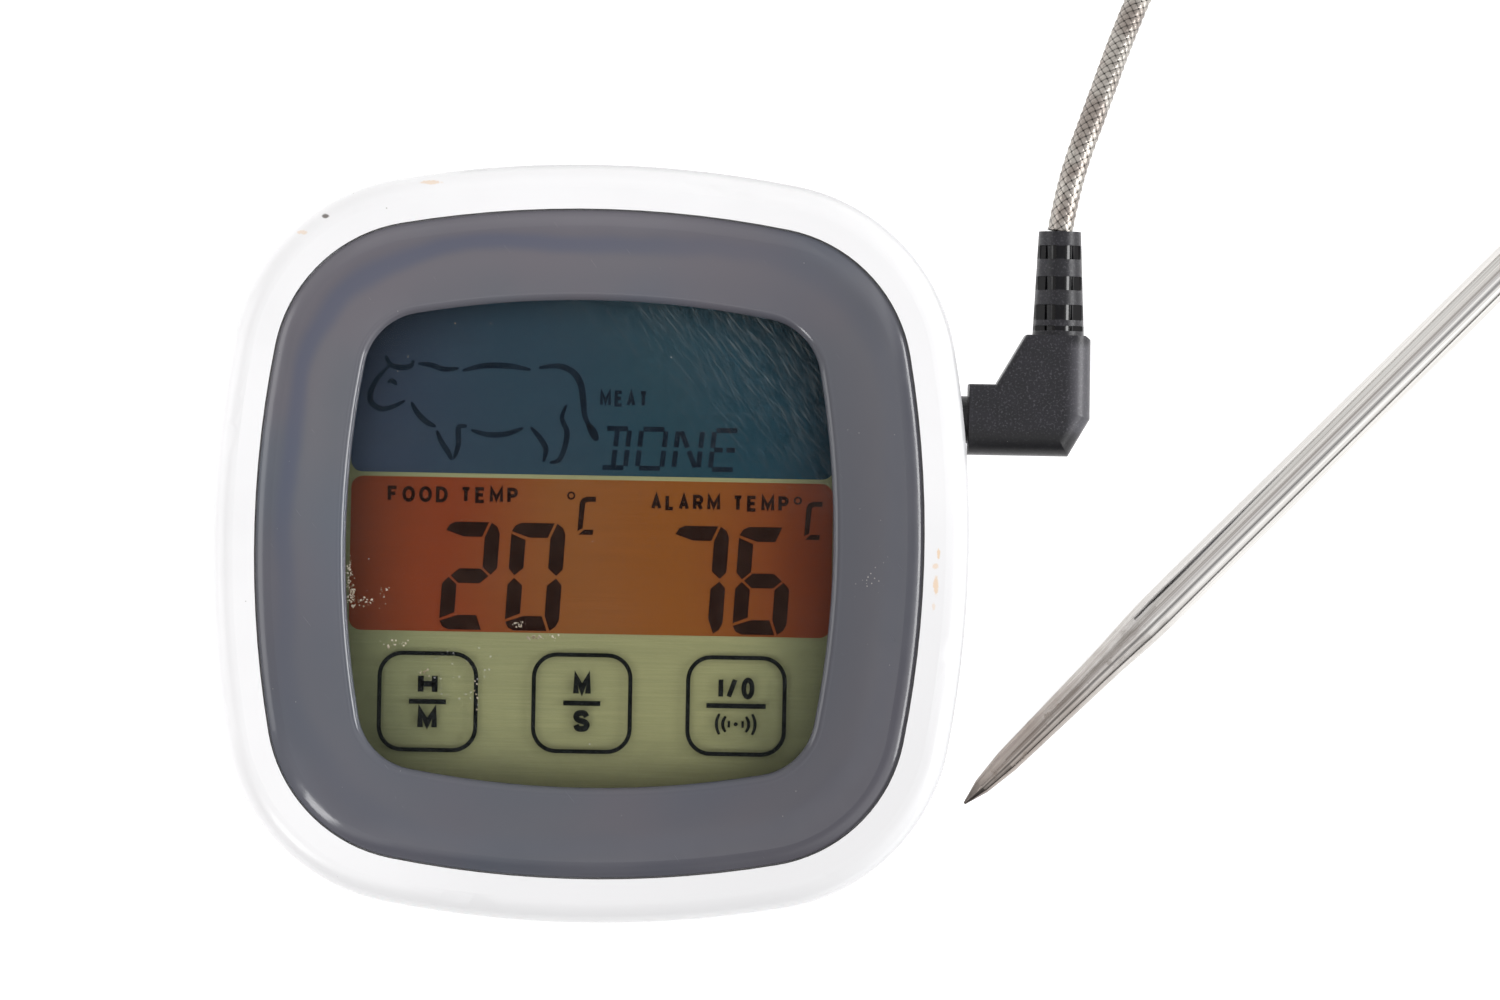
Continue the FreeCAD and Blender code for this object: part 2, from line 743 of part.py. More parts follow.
def build_stand():
    body = new_body("stand")
    plate_y = (d.stand_low_y, d.stand_axis_y)
    half = d.stand_half
    pad(body, soft_rectangle(body, (-half, half), plate_y, 3.0, d.stand_z, low_only=True), d.stand_thick)
    barrel = circles(body, [(d.stand_axis_y, d.stand_axis_z)], d.barrel_round, 0, "YZ_Plane")
    pad(body, barrel, d.stand_half * 2, both=True)
    window_y = (d.stand_low_y + 6, d.stand_axis_y - 6)
    pocket(body, soft_rectangle(body, (-9, 9), window_y, 2.0, d.stand_z), d.stand_thick, up=True)
    bore = circles(body, [(d.stand_axis_y, d.stand_axis_z)], d.pin_round + d.pin_gap, 0, "YZ_Plane")
    pocket(body, bore, d.stand_half * 2 + 2, both=True)
    pin_half = d.stand_half + d.stand_gap + d.ear_thick - 0.6
    at = (-pin_half, d.stand_axis_y, d.stand_axis_z)
    keep(rod("hinge_pin", at, "+X", d.pin_round, pin_half * 2), "hinge_pin")


def build_magnets():
    discs = []
    for index, x in enumerate(both_sides(d.magnet_x)):
        at = (x, d.magnet_y, 0.1)
        discs.append(rod("magnet%d" % index, at, "+Z", d.magnet_round, d.magnet_thick))
    keep(group("magnets", discs), "magnets")


def build_power_switch():
    x, y = -d.key_x, d.key_y
    half_travel = d.slider_travel / 2
    knob_x = (x - half_travel - 1.5, x - half_travel + 1.5)
    knob = block("knob_top", knob_x, (y - 1.5, y + 1.5), (0.35, 2.4))
    ridges = []
    for index in range(3):
        ridge_x = x - half_travel - 0.9 + index * 0.8
        ridges.append(block("knob_ridge%d" % index, (ridge_x, ridge_x + 0.25), (y - 2, y + 2), (0, 0.6)))
    flange_x = (x - half_travel - 3.0, x - half_travel + 3.0)
    flange = block("knob_flange", flange_x, (y - 2.6, y + 2.6), (1.95, 2.6))
    stem = block("knob_stem", (x - half_travel - 0.8, x - half_travel + 0.8), (y - 0.8, y + 0.8), (2.4, 10.2))
    keep(fuse("power_slider", [cut("power_knob", knob, ridges), flange, stem]), "power_slider")
    case = block("switch_case", (x - 4.4, x + 4.4), (y - 2.1, y + 2.1), (9.4, d.board_z))
    reach = half_travel + 1.0
    slot = block("switch_slot", (x - reach, x + reach), (y - 1.0, y + 1.0), (9, 10.6))
    keep(cut("slide_switch", case, [slot]), "slide_switch")


def build_unit_button():
    x, y = d.key_x, d.key_y
    cap = rod("button_cap", (x, y, 0.3), "+Z", d.button_round, 1.9)
    flange = rod("button_flange", (x, y, d.back_wall + 0.1), "+Z", d.button_round + 0.9, 0.7)
    stem = rod("button_stem", (x, y, 2.0), "+Z", 1.2, 7.2)
    keep(fuse("unit_button", [cap, flange, stem]), "unit_button")
    case = block("tact_case", (x - 3, x + 3), (y - 3, y + 3), (d.board_z - 3.4, d.board_z))
    plunger = rod("tact_plunger", (x, y, 9.2 + d.button_travel + 0.1), "+Z", 1.5, 1.5)
    keep(fuse("tact_switch", [case, plunger]), "tact_switch")


# ---------------------------------------------------------------- the plug

def move_to_plug(body):
    for axis, size in zip("xyz", (d.plug_face_x, d.plug_y, d.plug_z)):
        body.setExpression("Placement.Base." + axis, text_of(size))


def build_plug():
    body = new_body("plug_body")
    points = (
        (0, -3.4), (9.65, -3.4), (11.75, 0.25), (11.7, 7.9),
        (11.15, d.relief_y), (5.42, d.relief_y), (2.63, 3.45), (0, 3.45),
    )
    pad(body, profile(body, "XY_Plane", points), d.plug_deep, both=True)
    dress(body, "Fillet", d.plug_outer_round, is_plug_outer_edge)
    dress(body, "Fillet", d.plug_inner_round, is_plug_inner_edge)
    neck = circles(body, [(0, 0)], d.neck_round, -d.neck_long, "YZ_Plane")
    pad(body, neck, d.neck_long + 0.6)
    move_to_plug(body)


def lies_on_plug_side(edge):
    box = edge.BoundBox
    return box.ZLength < 0.01 and abs(abs(box.ZMin) - d.plug_deep.value / 2) < 0.01


def is_plug_outer_edge(edge):
    """The long edges along the foot, the mitred corner and the outer side."""
    box = edge.BoundBox
    along_foot = box.YMax < -3.3
    along_outside = box.XMin > 9.6 and box.YMax < 8
    return lies_on_plug_side(edge) and (along_foot or along_outside)


def is_plug_inner_edge(edge):
    """The crisper edges along the slope and the inner side."""
    box = edge.BoundBox
    on_top = box.YMin > d.relief_y.value - 0.01
    on_face = box.XMax < 0.01
    at_mitre = box.XMin > 9.6 or box.YMax < -3.3
    return lies_on_plug_side(edge) and not (on_top or on_face or at_mitre)


def build_jack():
    """The plug's pin: a sleeve and a tip of nickel-plated brass with a plastic ring between."""
    start = -d.neck_long
    length = d.jack_long
    radius = d.jack_round
    ring = (start - length * 0.62, start - length * 0.70)
    sleeve = new_body("plug_sleeve")
    points = ((start, 0), (start, radius), (ring[0], radius), (ring[0], 0))
    revolve(sleeve, profile(sleeve, "XY_Plane", points), "H_Axis")
    insulator = new_body("plug_insulator")
    points = ((ring[0], 0), (ring[0], radius), (ring[1], radius), (ring[1], 0))
    revolve(insulator, profile(insulator, "XY_Plane", points), "H_Axis")
    tip = new_body("plug_tip")
    end = start - length
    points = (
        (ring[1], 0), (ring[1], radius), (ring[1] - 0.7, radius), (ring[1] - 1.3, radius - 0.35),
        (end + 1.0, radius), (end + 0.25, 0.55), (end, 0.3), (end, 0),
    )
    revolve(tip, profile(tip, "XY_Plane", points), "H_Axis")
    for item in (sleeve, insulator, tip):
        move_to_plug(item)


SLOT_ROWS = ((0.45, 0.5), (1.5, 1.5), (4.4, 1.35), (7.4, 1.35))
WEB_HALF = 0.4
SIDE_WALL = 0.2
CORE_ROUND = 1.55
SLOT_REACH = 5
SLOT_FLOOR = 0.7


def build_strain_relief():
    """A tapered sleeve with rows of windows: a rib over the middle, thin walls at the sides."""
    x = d.plug_face_x + d.relief_x
    y = d.plug_y + d.relief_y
    at = (x, y, d.plug_z)
    radii = (d.relief_base_round, d.relief_end_round)
    relief = cone("relief_cone", at, "+Y", radii, d.relief_long)
    taper = (radii[0].value - radii[1].value) / d.relief_long.value
    deep = (d.plug_z - SLOT_REACH, d.plug_z + SLOT_REACH)
    tools = []
    for index, (start, tall) in enumerate(SLOT_ROWS):
        ring_at = (x, y + start, d.plug_z)
        row = (y + start, y + start + tall)
        outer = rod("slot_outer%d" % index, ring_at, "+Y", SLOT_REACH - 1, tall)
        core = rod("slot_core%d" % index, ring_at, "+Y", CORE_ROUND, tall)
        web = block("slot_web%d" % index, (x - WEB_HALF, x + WEB_HALF), row, deep)
        wall = radii[0].value - taper * (start + tall / 2) - SIDE_WALL
        left = block("slot_left%d" % index, (x - SLOT_REACH, x - wall), row, deep)
        right = block("slot_right%d" % index, (x + wall, x + SLOT_REACH), row, deep)
        middle = (d.plug_z - SLOT_FLOOR, d.plug_z + SLOT_FLOOR)
        bed = block("slot_bed%d" % index, (x - SLOT_REACH, x + SLOT_REACH), row, middle)
        tools.append(cut("slot_tool%d" % index, outer, [core, web, left, right, bed]))
    keep(cut("relief", relief, tools), "strain_relief")


# ---------------------------------------------------------------- the lead

def rounded_path(points):
    """Straight runs joined by tangent arcs, each as large as its two runs allow."""
    edges = []
    radii = []
    here = points[0]
    for before, corner, after in zip(points, points[1:], points[2:]):
        arrive = (corner - before).normalize()
        leave = (after - corner).normalize()
        turn = arrive.getAngle(leave)
        short = 0.45 * min((corner - before).Length, (after - corner).Length)
        start = corner - arrive * short
        stop = corner + leave * short
        bisector = (leave - arrive).normalize()
        radius = short / math.tan(turn / 2)
        middle = corner + bisector * (radius / math.cos(turn / 2) - radius)
        edges.append(Part.LineSegment(here, start).toShape())
        edges.append(Part.Arc(start, middle, stop).toShape())
        radii.append(radius)
        here = stop
    edges.append(Part.LineSegment(here, points[-1]).toShape())
    return Part.Wire(edges), radii


def cable_tube(label, points):
    path, radii = rounded_path(points)
    radius = d.cable_round.value
    heading = points[1] - points[0]
    section = Part.Wire(Part.Circle(points[0], heading, radius).toShape())
    tube = path.makePipeShell([section], True, False)
    expected = math.pi * radius ** 2 * path.Length
    bends = ", ".join("%.1f" % bend for bend in radii)
    print("%s: length %.1f, bend radii %s" % (label, path.Length, bends))
    print("%s: volume %.1f, section times length %.1f" % (label, tube.Volume, expected))
    item = doc.addObject("Part::Feature", label)
    item.Shape = tube
    item.Placement = FreeCAD.Placement()
    keep(item, label)


def build_lead():
    """The braided cable: down from the plug to the table, into its coil, and on to the probe."""
    floor = d.cable_floor_z.value
    exit_x = d.plug_face_x.value + d.relief_x.value
    exit_y = d.plug_y.value + d.relief_y.value + d.relief_long.value
    exit_z = d.plug_z.value
    plug_side = (
        Vector(exit_x, exit_y, exit_z),
        Vector(45.7, 36.0, exit_z),
        Vector(48.3, 43.2, 8.8),
        Vector(51.15, 51.2, 4.7),
        Vector(54.7, 59.6, 1.6),
        Vector(59.6, 68.4, floor),
        Vector(66.0, 77.5, floor),
        Vector(70.6, 86.3, floor),
        Vector(71.5, 94.5, floor),
    )
    cable_tube("cable_plug_side", plug_side)
    angle = math.radians(d.probe_angle.value)
    end = d.shank_long.value + d.seal_long.value
    along = Vector(math.cos(angle), math.sin(angle), 0)
    tip = Vector(d.tip_x.value, d.tip_y.value, d.shank_round.value)
    probe_side = (
        Vector(88.5, 106.8, 8.8),
        Vector(95.5, 106.9, 8.3),
        Vector(103.8, 106.6, 5.9),
        Vector(112.5, 107.0, 2.6),
        Vector(121.6, 106.5, floor),
        Vector(131.4, 106.8, floor),
        Vector(139.7, 101.3, floor),
        Vector(143.5, 92.1, floor),
        Vector(141.7, 82.3, 1.7),
        tip + along * end,
    )
    cable_tube("cable_probe_side", probe_side)
    at = (d.coil_x, d.coil_y, 0.05)
    outer = rod("coil_outer_wall", at, "+Z", d.coil_outer, d.coil_high)
    inner = rod("coil_inner_wall", (d.coil_x, d.coil_y, -1), "+Z", d.coil_inner, d.coil_high + 3)
    keep(cut("coil", outer, [inner]), "cable_coil")


# ---------------------------------------------------------------- the probe

def move_to_probe(body):
    """The probe's own frame has its tip at the origin and its axis along X."""
    body.Placement = FreeCAD.Placement(Vector(), Rotation(Vector(0, 0, 1), d.probe_angle.value))
    for axis, size in zip("xyz", (d.tip_x, d.tip_y, d.shank_round)):
        body.setExpression("Placement.Base." + axis, text_of(size))
    body.setExpression("Placement.Rotation.Angle", d.probe_angle.text)


def build_probe():
    tube = new_body("probe_tube")
    end = d.shank_long
    full = d.shank_round
    hollow = full - 0.35
    points = (
        (0, 0), (0, 0.12), (2.4, 0.815), (5.9, 1.21), (17.7, 1.55), (20.4, 1.66),
        (24.6, 1.93), (27.0, full),
        (end - 11.0, full), (end - 10.6, full - 0.2), (end - 9.6, full - 0.2), (end - 9.2, full),
        (end - 6.0, full), (end - 5.6, full - 0.2), (end - 4.6, full - 0.2), (end - 4.2, full),
        (end - 0.2, full), (end, full - 0.2), (end, hollow),
        (28.0, hollow), (19.0, 1.2), (7.0, 0.85), (7.0, 0),
    )
    revolve(tube, profile(tube, "XY_Plane", points), "H_Axis")
    seal = new_body("probe_seal")
    inside = hollow - 0.02
    points = (
        (end - 8.0, 0), (end - 8.0, inside), (end, inside), (end + 0.05, full - 0.15),
        (end + 1.2, full - 0.15), (end + d.seal_long, 1.5), (end + d.seal_long, 0),
    )
    revolve(seal, profile(seal, "XY_Plane", points), "H_Axis")
    sensor = new_body("thermistor")
    points = ((7.2, 0), (7.2, 0.4), (7.6, 0.7), (10.6, 0.8), (11.2, 0.4), (11.2, 0))
    revolve(sensor, profile(sensor, "XY_Plane", points), "H_Axis")
    for item in (tube, seal, sensor):
        move_to_probe(item)


# ---------------------------------------------------------------- build, check and write

def build_all():
    build_back_housing()
    build_front_housing()
    build_bezel()
    build_lens()
    build_display()
    build_board()
    build_socket()
    build_screws()
    build_batteries()
    build_door()
    build_stand()
    build_magnets()
    build_power_switch()
    build_unit_button()
    build_plug()
    build_jack()
    build_strain_relief()
    build_lead()
    build_probe()
    doc.recompute()


def check_all():
    for item in doc.Objects:
        if "Invalid" in item.State or "Error" in item.State:
            raise RuntimeError("%s failed: %s" % (item.Label, item.State))
    for node in nodes:
        if node.Shape.isNull() or not node.Shape.isValid():
            raise RuntimeError("%s has no valid shape" % node.Label)


def write_all():
    os.makedirs("parts", exist_ok=True)
    for node in nodes:
        node.Shape.exportStep("parts/%s.step" % node.Label)
    print("%d nodes written" % len(nodes))


build_all()
check_all()
write_all()
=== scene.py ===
import math
import random

import bmesh
import bpy
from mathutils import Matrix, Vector, noise


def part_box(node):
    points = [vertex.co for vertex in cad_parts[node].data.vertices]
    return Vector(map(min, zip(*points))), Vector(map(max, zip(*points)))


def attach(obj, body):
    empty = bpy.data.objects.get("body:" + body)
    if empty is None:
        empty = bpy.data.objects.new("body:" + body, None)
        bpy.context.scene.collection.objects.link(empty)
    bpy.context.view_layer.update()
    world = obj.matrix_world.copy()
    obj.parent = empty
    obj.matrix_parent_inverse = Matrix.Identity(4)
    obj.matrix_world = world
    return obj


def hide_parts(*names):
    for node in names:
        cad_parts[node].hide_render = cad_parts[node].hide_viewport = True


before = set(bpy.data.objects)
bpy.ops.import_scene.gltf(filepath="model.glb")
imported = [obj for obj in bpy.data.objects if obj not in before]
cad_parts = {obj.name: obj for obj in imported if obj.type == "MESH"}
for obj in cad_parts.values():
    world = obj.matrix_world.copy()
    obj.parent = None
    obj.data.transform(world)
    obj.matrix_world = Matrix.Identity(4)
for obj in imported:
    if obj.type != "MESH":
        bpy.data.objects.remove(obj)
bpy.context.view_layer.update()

MM = 0.001
TAU = 2 * math.pi
chance = random.Random(7)

LENS_TOP_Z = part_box("touch_lens")[1].z / MM
SENSOR_LOW_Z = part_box("touch_sensor")[0].z / MM
GLASS_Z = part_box("lcd_glass")[1].z / MM
PLUG_Z = 10.6
RELIEF_X = 44.9
RELIEF_LOW_Y, RELIEF_HIGH_Y = 20.95, 31.05
# y ranges of the strain relief's slot rows, where the plug's material paints shade
RELIEF_ROWS = ((21.4, 21.9), (22.45, 23.95), (25.35, 26.7), (28.35, 29.7))
PROBE_TIP = Vector((36.9, -25.0, 2.0))
PROBE_ANGLE = math.radians(45.7)


def mm(x, y, z=0.0):
    return Vector((x, y, z)) * MM


# ---------------------------------------------------------------- camera

CAMERA_AT = (15.28, 4.48, 660)
CAMERA_ROLL = math.radians(1.04)
CAMERA_LENS = 160.5


def make_camera():
    """Straight down on the object, with the long lens of a product photograph."""
    data = bpy.data.cameras.new("camera")
    data.sensor_width = 36
    data.lens = CAMERA_LENS
    data.clip_start = 0.05
    camera = bpy.data.objects.new("camera", data)
    camera.location = mm(*CAMERA_AT)
    camera.rotation_euler = (0, 0, CAMERA_ROLL)
    bpy.context.scene.collection.objects.link(camera)
    bpy.context.scene.camera = camera


# ---------------------------------------------------------------- meshes

def add_piece(name, mesh, material, body, smooth=True):
    """Links a mesh as a piece that rides on a body, with its material."""
    piece = bpy.data.objects.new(name, mesh)
    bpy.context.scene.collection.objects.link(piece)
    mesh.materials.clear()
    mesh.materials.append(material)
    if smooth:
        mesh.shade_smooth()
    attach(piece, body)
    return piece


class Print:
    """Thin flat shapes between two heights, collected into one mesh. Sizes are in mm."""

    def __init__(self, low, high):
        self.bm = bmesh.new()
        self.low = low
        self.high = high

    def polygon(self, points):
        rings = []
        for z in (self.low, self.high):
            rings.append([self.bm.verts.new(mm(x, y, z)) for x, y in points])
        area = sum(p[0] * q[1] - q[0] * p[1] for p, q in zip(points, points[1:] + points[:1]))
        if area < 0:
            rings = [ring[::-1] for ring in rings]
        bottom, top = rings
        self.bm.faces.new(bottom[::-1])
        self.bm.faces.new(top)
        for index in range(len(top)):
            after = (index + 1) % len(top)
            self.bm.faces.new((bottom[index], bottom[after], top[after], top[index]))

    def band(self, inner, outer):
        """A closed band between two outlines with the same number of points."""
        rows = []
        corners = ((outer, self.low), (outer, self.high), (inner, self.high), (inner, self.low))
        for outline, z in corners:
            rows.append([self.bm.verts.new(mm(x, y, z)) for x, y in outline])
        count = len(inner)
        for row, above in zip(rows, rows[1:] + rows[:1]):
            for index in range(count):
                after = (index + 1) % count
                self.bm.faces.new((row[index], row[after], above[after], above[index]))

    def stroke(self, points, width, taper=0.35):
        """A brush stroke along a smooth line through the points, thinner at its ends."""
        line = smooth_line(points)
        last = len(line) - 1
        left, right = [], []
        for index, here in enumerate(line):
            along = (line[min(index + 1, last)] - line[max(index - 1, 0)]).normalized()
            across = Vector((-along.y, along.x))
            share = index / last
            swell = taper + (1 - taper) * math.sin(math.pi * share) ** 0.6
            left.append(tuple(here + across * width * swell / 2))
            right.append(tuple(here - across * width * swell / 2))
        self.polygon(right + left[::-1])

    def bar(self, start, stop, width, gap=0.0):
        """A straight bar between two points, cut short by the gap at both ends."""
        start, stop = Vector(start), Vector(stop)
        along = (stop - start).normalized()
        across = Vector((-along.y, along.x)) * width / 2
        start, stop = start + along * gap, stop - along * gap
        corners = (start - across, stop - across, stop + across, start + across)
        self.polygon([tuple(corner) for corner in corners])

    def pen(self, points, width, closed):
        """A line of even width with sharp corners through the points."""
        spots = [Vector(p) for p in points]
        count = len(spots)
        left, right = [], []
        for index, here in enumerate(spots):
            before = spots[index - 1] if index or closed else None
            after = spots[(index + 1) % count] if index < count - 1 or closed else None
            normals = []
            for start, stop in ((before, here), (here, after)):
                if start is not None and stop is not None:
                    along = (stop - start).normalized()
                    normals.append(Vector((-along.y, along.x)))
            mitre = (normals[0] + normals[-1]).normalized()
            reach = width / 2 / max(0.4, mitre.dot(normals[0]))
            left.append(tuple(here + mitre * reach))
            right.append(tuple(here - mitre * reach))
        if closed:
            self.band(left, right)
        else:
            self.polygon(right + left[::-1])

    def text(self, words, left, right, low, high, weight):
        """Plain capitals drawn with a pen, spread over the given box."""
        sizes = [WIDTHS.get(letter, 0.66) for letter in words]
        total = sum(sizes) + LETTER_GAP * (len(words) - 1)
        stretch = (right - left) / total
        tall = high - low - weight
        at = left
        for letter, size in zip(words, sizes):
            wide = size * stretch - weight
            for line in GLYPHS.get(letter, ()):
                closed = line[0] == line[-1]
                if closed:
                    line = line[:-1]
                spots = [(at + weight / 2 + x * wide, low + weight / 2 + y * tall) for x, y in line]
                self.pen(spots, weight, closed)
            at += (size + LETTER_GAP) * stretch

    def finish(self, name, material, slot):
        mesh = bpy.data.meshes.new(name)
        bmesh.ops.recalc_face_normals(self.bm, faces=self.bm.faces)
        self.bm.to_mesh(mesh)
        self.bm.free()
        return add_piece(name, mesh, material, "unit", smooth=False)


def smooth_line(points, steps=8):
    """Catmull-Rom points through the given ones."""
    spots = [Vector(p) for p in points]
    spots = [2 * spots[0] - spots[1], *spots, 2 * spots[-1] - spots[-2]]
    line = []
    for a, b, c, d in zip(spots, spots[1:], spots[2:], spots[3:]):
        for step in range(steps):
            t = step / steps
            line.append(0.5 * (2 * b + (c - a) * t + (2 * a - 5 * b + 4 * c - d) * t * t
                               + (3 * b - a - 3 * c + d) * t ** 3))
    line.append(spots[-2])
    return line


def bow(x, y, wide, tall, start, stop, steps=10):
    """Points of an arc, in turns from start to stop."""
    points = []
    for step in range(steps + 1):
        angle = TAU * (start + (stop - start) * step / steps)
        points.append((x + wide * math.cos(angle), y + tall * math.sin(angle)))
    return points


def disc(x, y, radius, steps):
    """The outline of a disc."""
    return bow(x, y, radius, radius, 0, 1, steps)[:-1]


def rounded_box(left, right, low, high, round_by):
    """The outline of a rectangle with rounded corners."""
    corners = (
        (right - round_by, high - round_by), (left + round_by, high - round_by),
        (left + round_by, low + round_by), (right - round_by, low + round_by),
    )
    points = []
    for quarter, (x, y) in enumerate(corners):
        points += bow(x, y, round_by, round_by, quarter / 4, (quarter + 1) / 4, 8)
    return points


# each letter is one or more pen lines in a unit square; a line that ends where it starts is closed
BOWL = [(0, 0), (0, 1), (0.55, 1), *bow(0.55, 0.74, 0.45, 0.26, 0.22, -0.22), (0.55, 0.48), (0, 0.48)]
GLYPHS = {
    "A": ([(0, 0), (0.5, 1), (1, 0)], [(0.2, 0.34), (0.8, 0.34)]),
    "D": ([(0, 0), (0, 1), (0.4, 1), *bow(0.4, 0.5, 0.6, 0.5, 0.22, -0.22), (0.4, 0), (0, 0)],),
    "E": ([(1, 1), (0, 1), (0, 0), (1, 0)], [(0, 0.52), (0.88, 0.52)]),
    "F": ([(1, 1), (0, 1), (0, 0)], [(0, 0.52), (0.85, 0.52)]),
    "H": ([(0, 0), (0, 1)], [(1, 0), (1, 1)], [(0, 0.5), (1, 0.5)]),
    "I": ([(0.5, 0), (0.5, 1)],),
    "L": ([(0, 1), (0, 0), (1, 0)],),
    "M": ([(0, 0), (0, 1), (0.5, 0.22), (1, 1), (1, 0)],),
    "O": (bow(0.5, 0.5, 0.5, 0.5, 0, 1, 24),),
    "P": (BOWL,),
    "R": (BOWL, [(0.5, 0.48), (1, 0)]),
    "S": ([tuple(p) for p in smooth_line((
        (0.94, 0.76), (0.76, 0.96), (0.48, 1), (0.16, 0.94), (0.05, 0.76), (0.2, 0.58), (0.5, 0.5),
        (0.82, 0.42), (0.96, 0.24), (0.82, 0.05), (0.5, 0), (0.2, 0.04), (0.04, 0.25)), 3)],),
    "T": ([(0.5, 0), (0.5, 1)], [(0, 1), (1, 1)]),
    "/": ([(0, 0), (1, 1)],),
}
LETTER_GAP = 0.24
WIDTHS = {"M": 0.84, "O": 0.8, "D": 0.74, "I": 0.2, "/": 0.66, " ": 0.3, "L": 0.6, "S": 0.68}


# ---------------------------------------------------------------- materials

def srgb(red, green, blue):
    """A display colour, 0 to 255, as the linear one that shaders take."""
    linear = []
    for value in (red, green, blue):
        share = value / 255
        linear.append(share / 12.92 if share <= 0.04045 else ((share + 0.055) / 1.055) ** 2.4)
    return (*linear, 1.0)


class Nodes:
    """A node tree, with short calls for its nodes."""

    def __init__(self, tree):
        self.tree = tree

    def add(self, kind, **settings):
        node = self.tree.nodes.new(kind)
        for key, value in settings.items():
            setattr(node, key, value)
        return node

    def feed(self, socket, value):
        if isinstance(value, bpy.types.NodeSocket):
            self.tree.links.new(value, socket)
        else:
            socket.default_value = value

    def math(self, operation, *values):
        node = self.add("ShaderNodeMath", operation=operation)
        for socket, value in zip(node.inputs, values):
            self.feed(socket, value)
        return node.outputs[0]

    def plus(self, first, second):
        return self.math("ADD", first, second)

    def minus(self, first, second):
        return self.math("SUBTRACT", first, second)

    def times(self, first, second):
        return self.math("MULTIPLY", first, second)

    def scaled(self, value, factor, shift):
        """The value times the factor, plus the shift."""
        return self.math("MULTIPLY_ADD", value, factor, shift)

    def diagonal(self, first, second):
        """The length of the diagonal over two sides."""
        return self.math("SQRT", self.plus(self.math("POWER", first, 2), self.math("POWER", second, 2)))

    def ramp(self, value, start, stop, low=0.0, high=1.0):
        """Goes smoothly from low to high as the value goes from start to stop."""
        if start > stop:
            start, stop, low, high = stop, start, high, low
        node = self.add("ShaderNodeMapRange", interpolation_type="SMOOTHSTEP")
        for socket, number in zip(node.inputs, (value, start, stop, low, high)):
            self.feed(socket, number)
        return node.outputs[0]

    def split(self, vector):
        node = self.add("ShaderNodeSeparateXYZ")
        self.feed(node.inputs[0], vector)
        return node.outputs


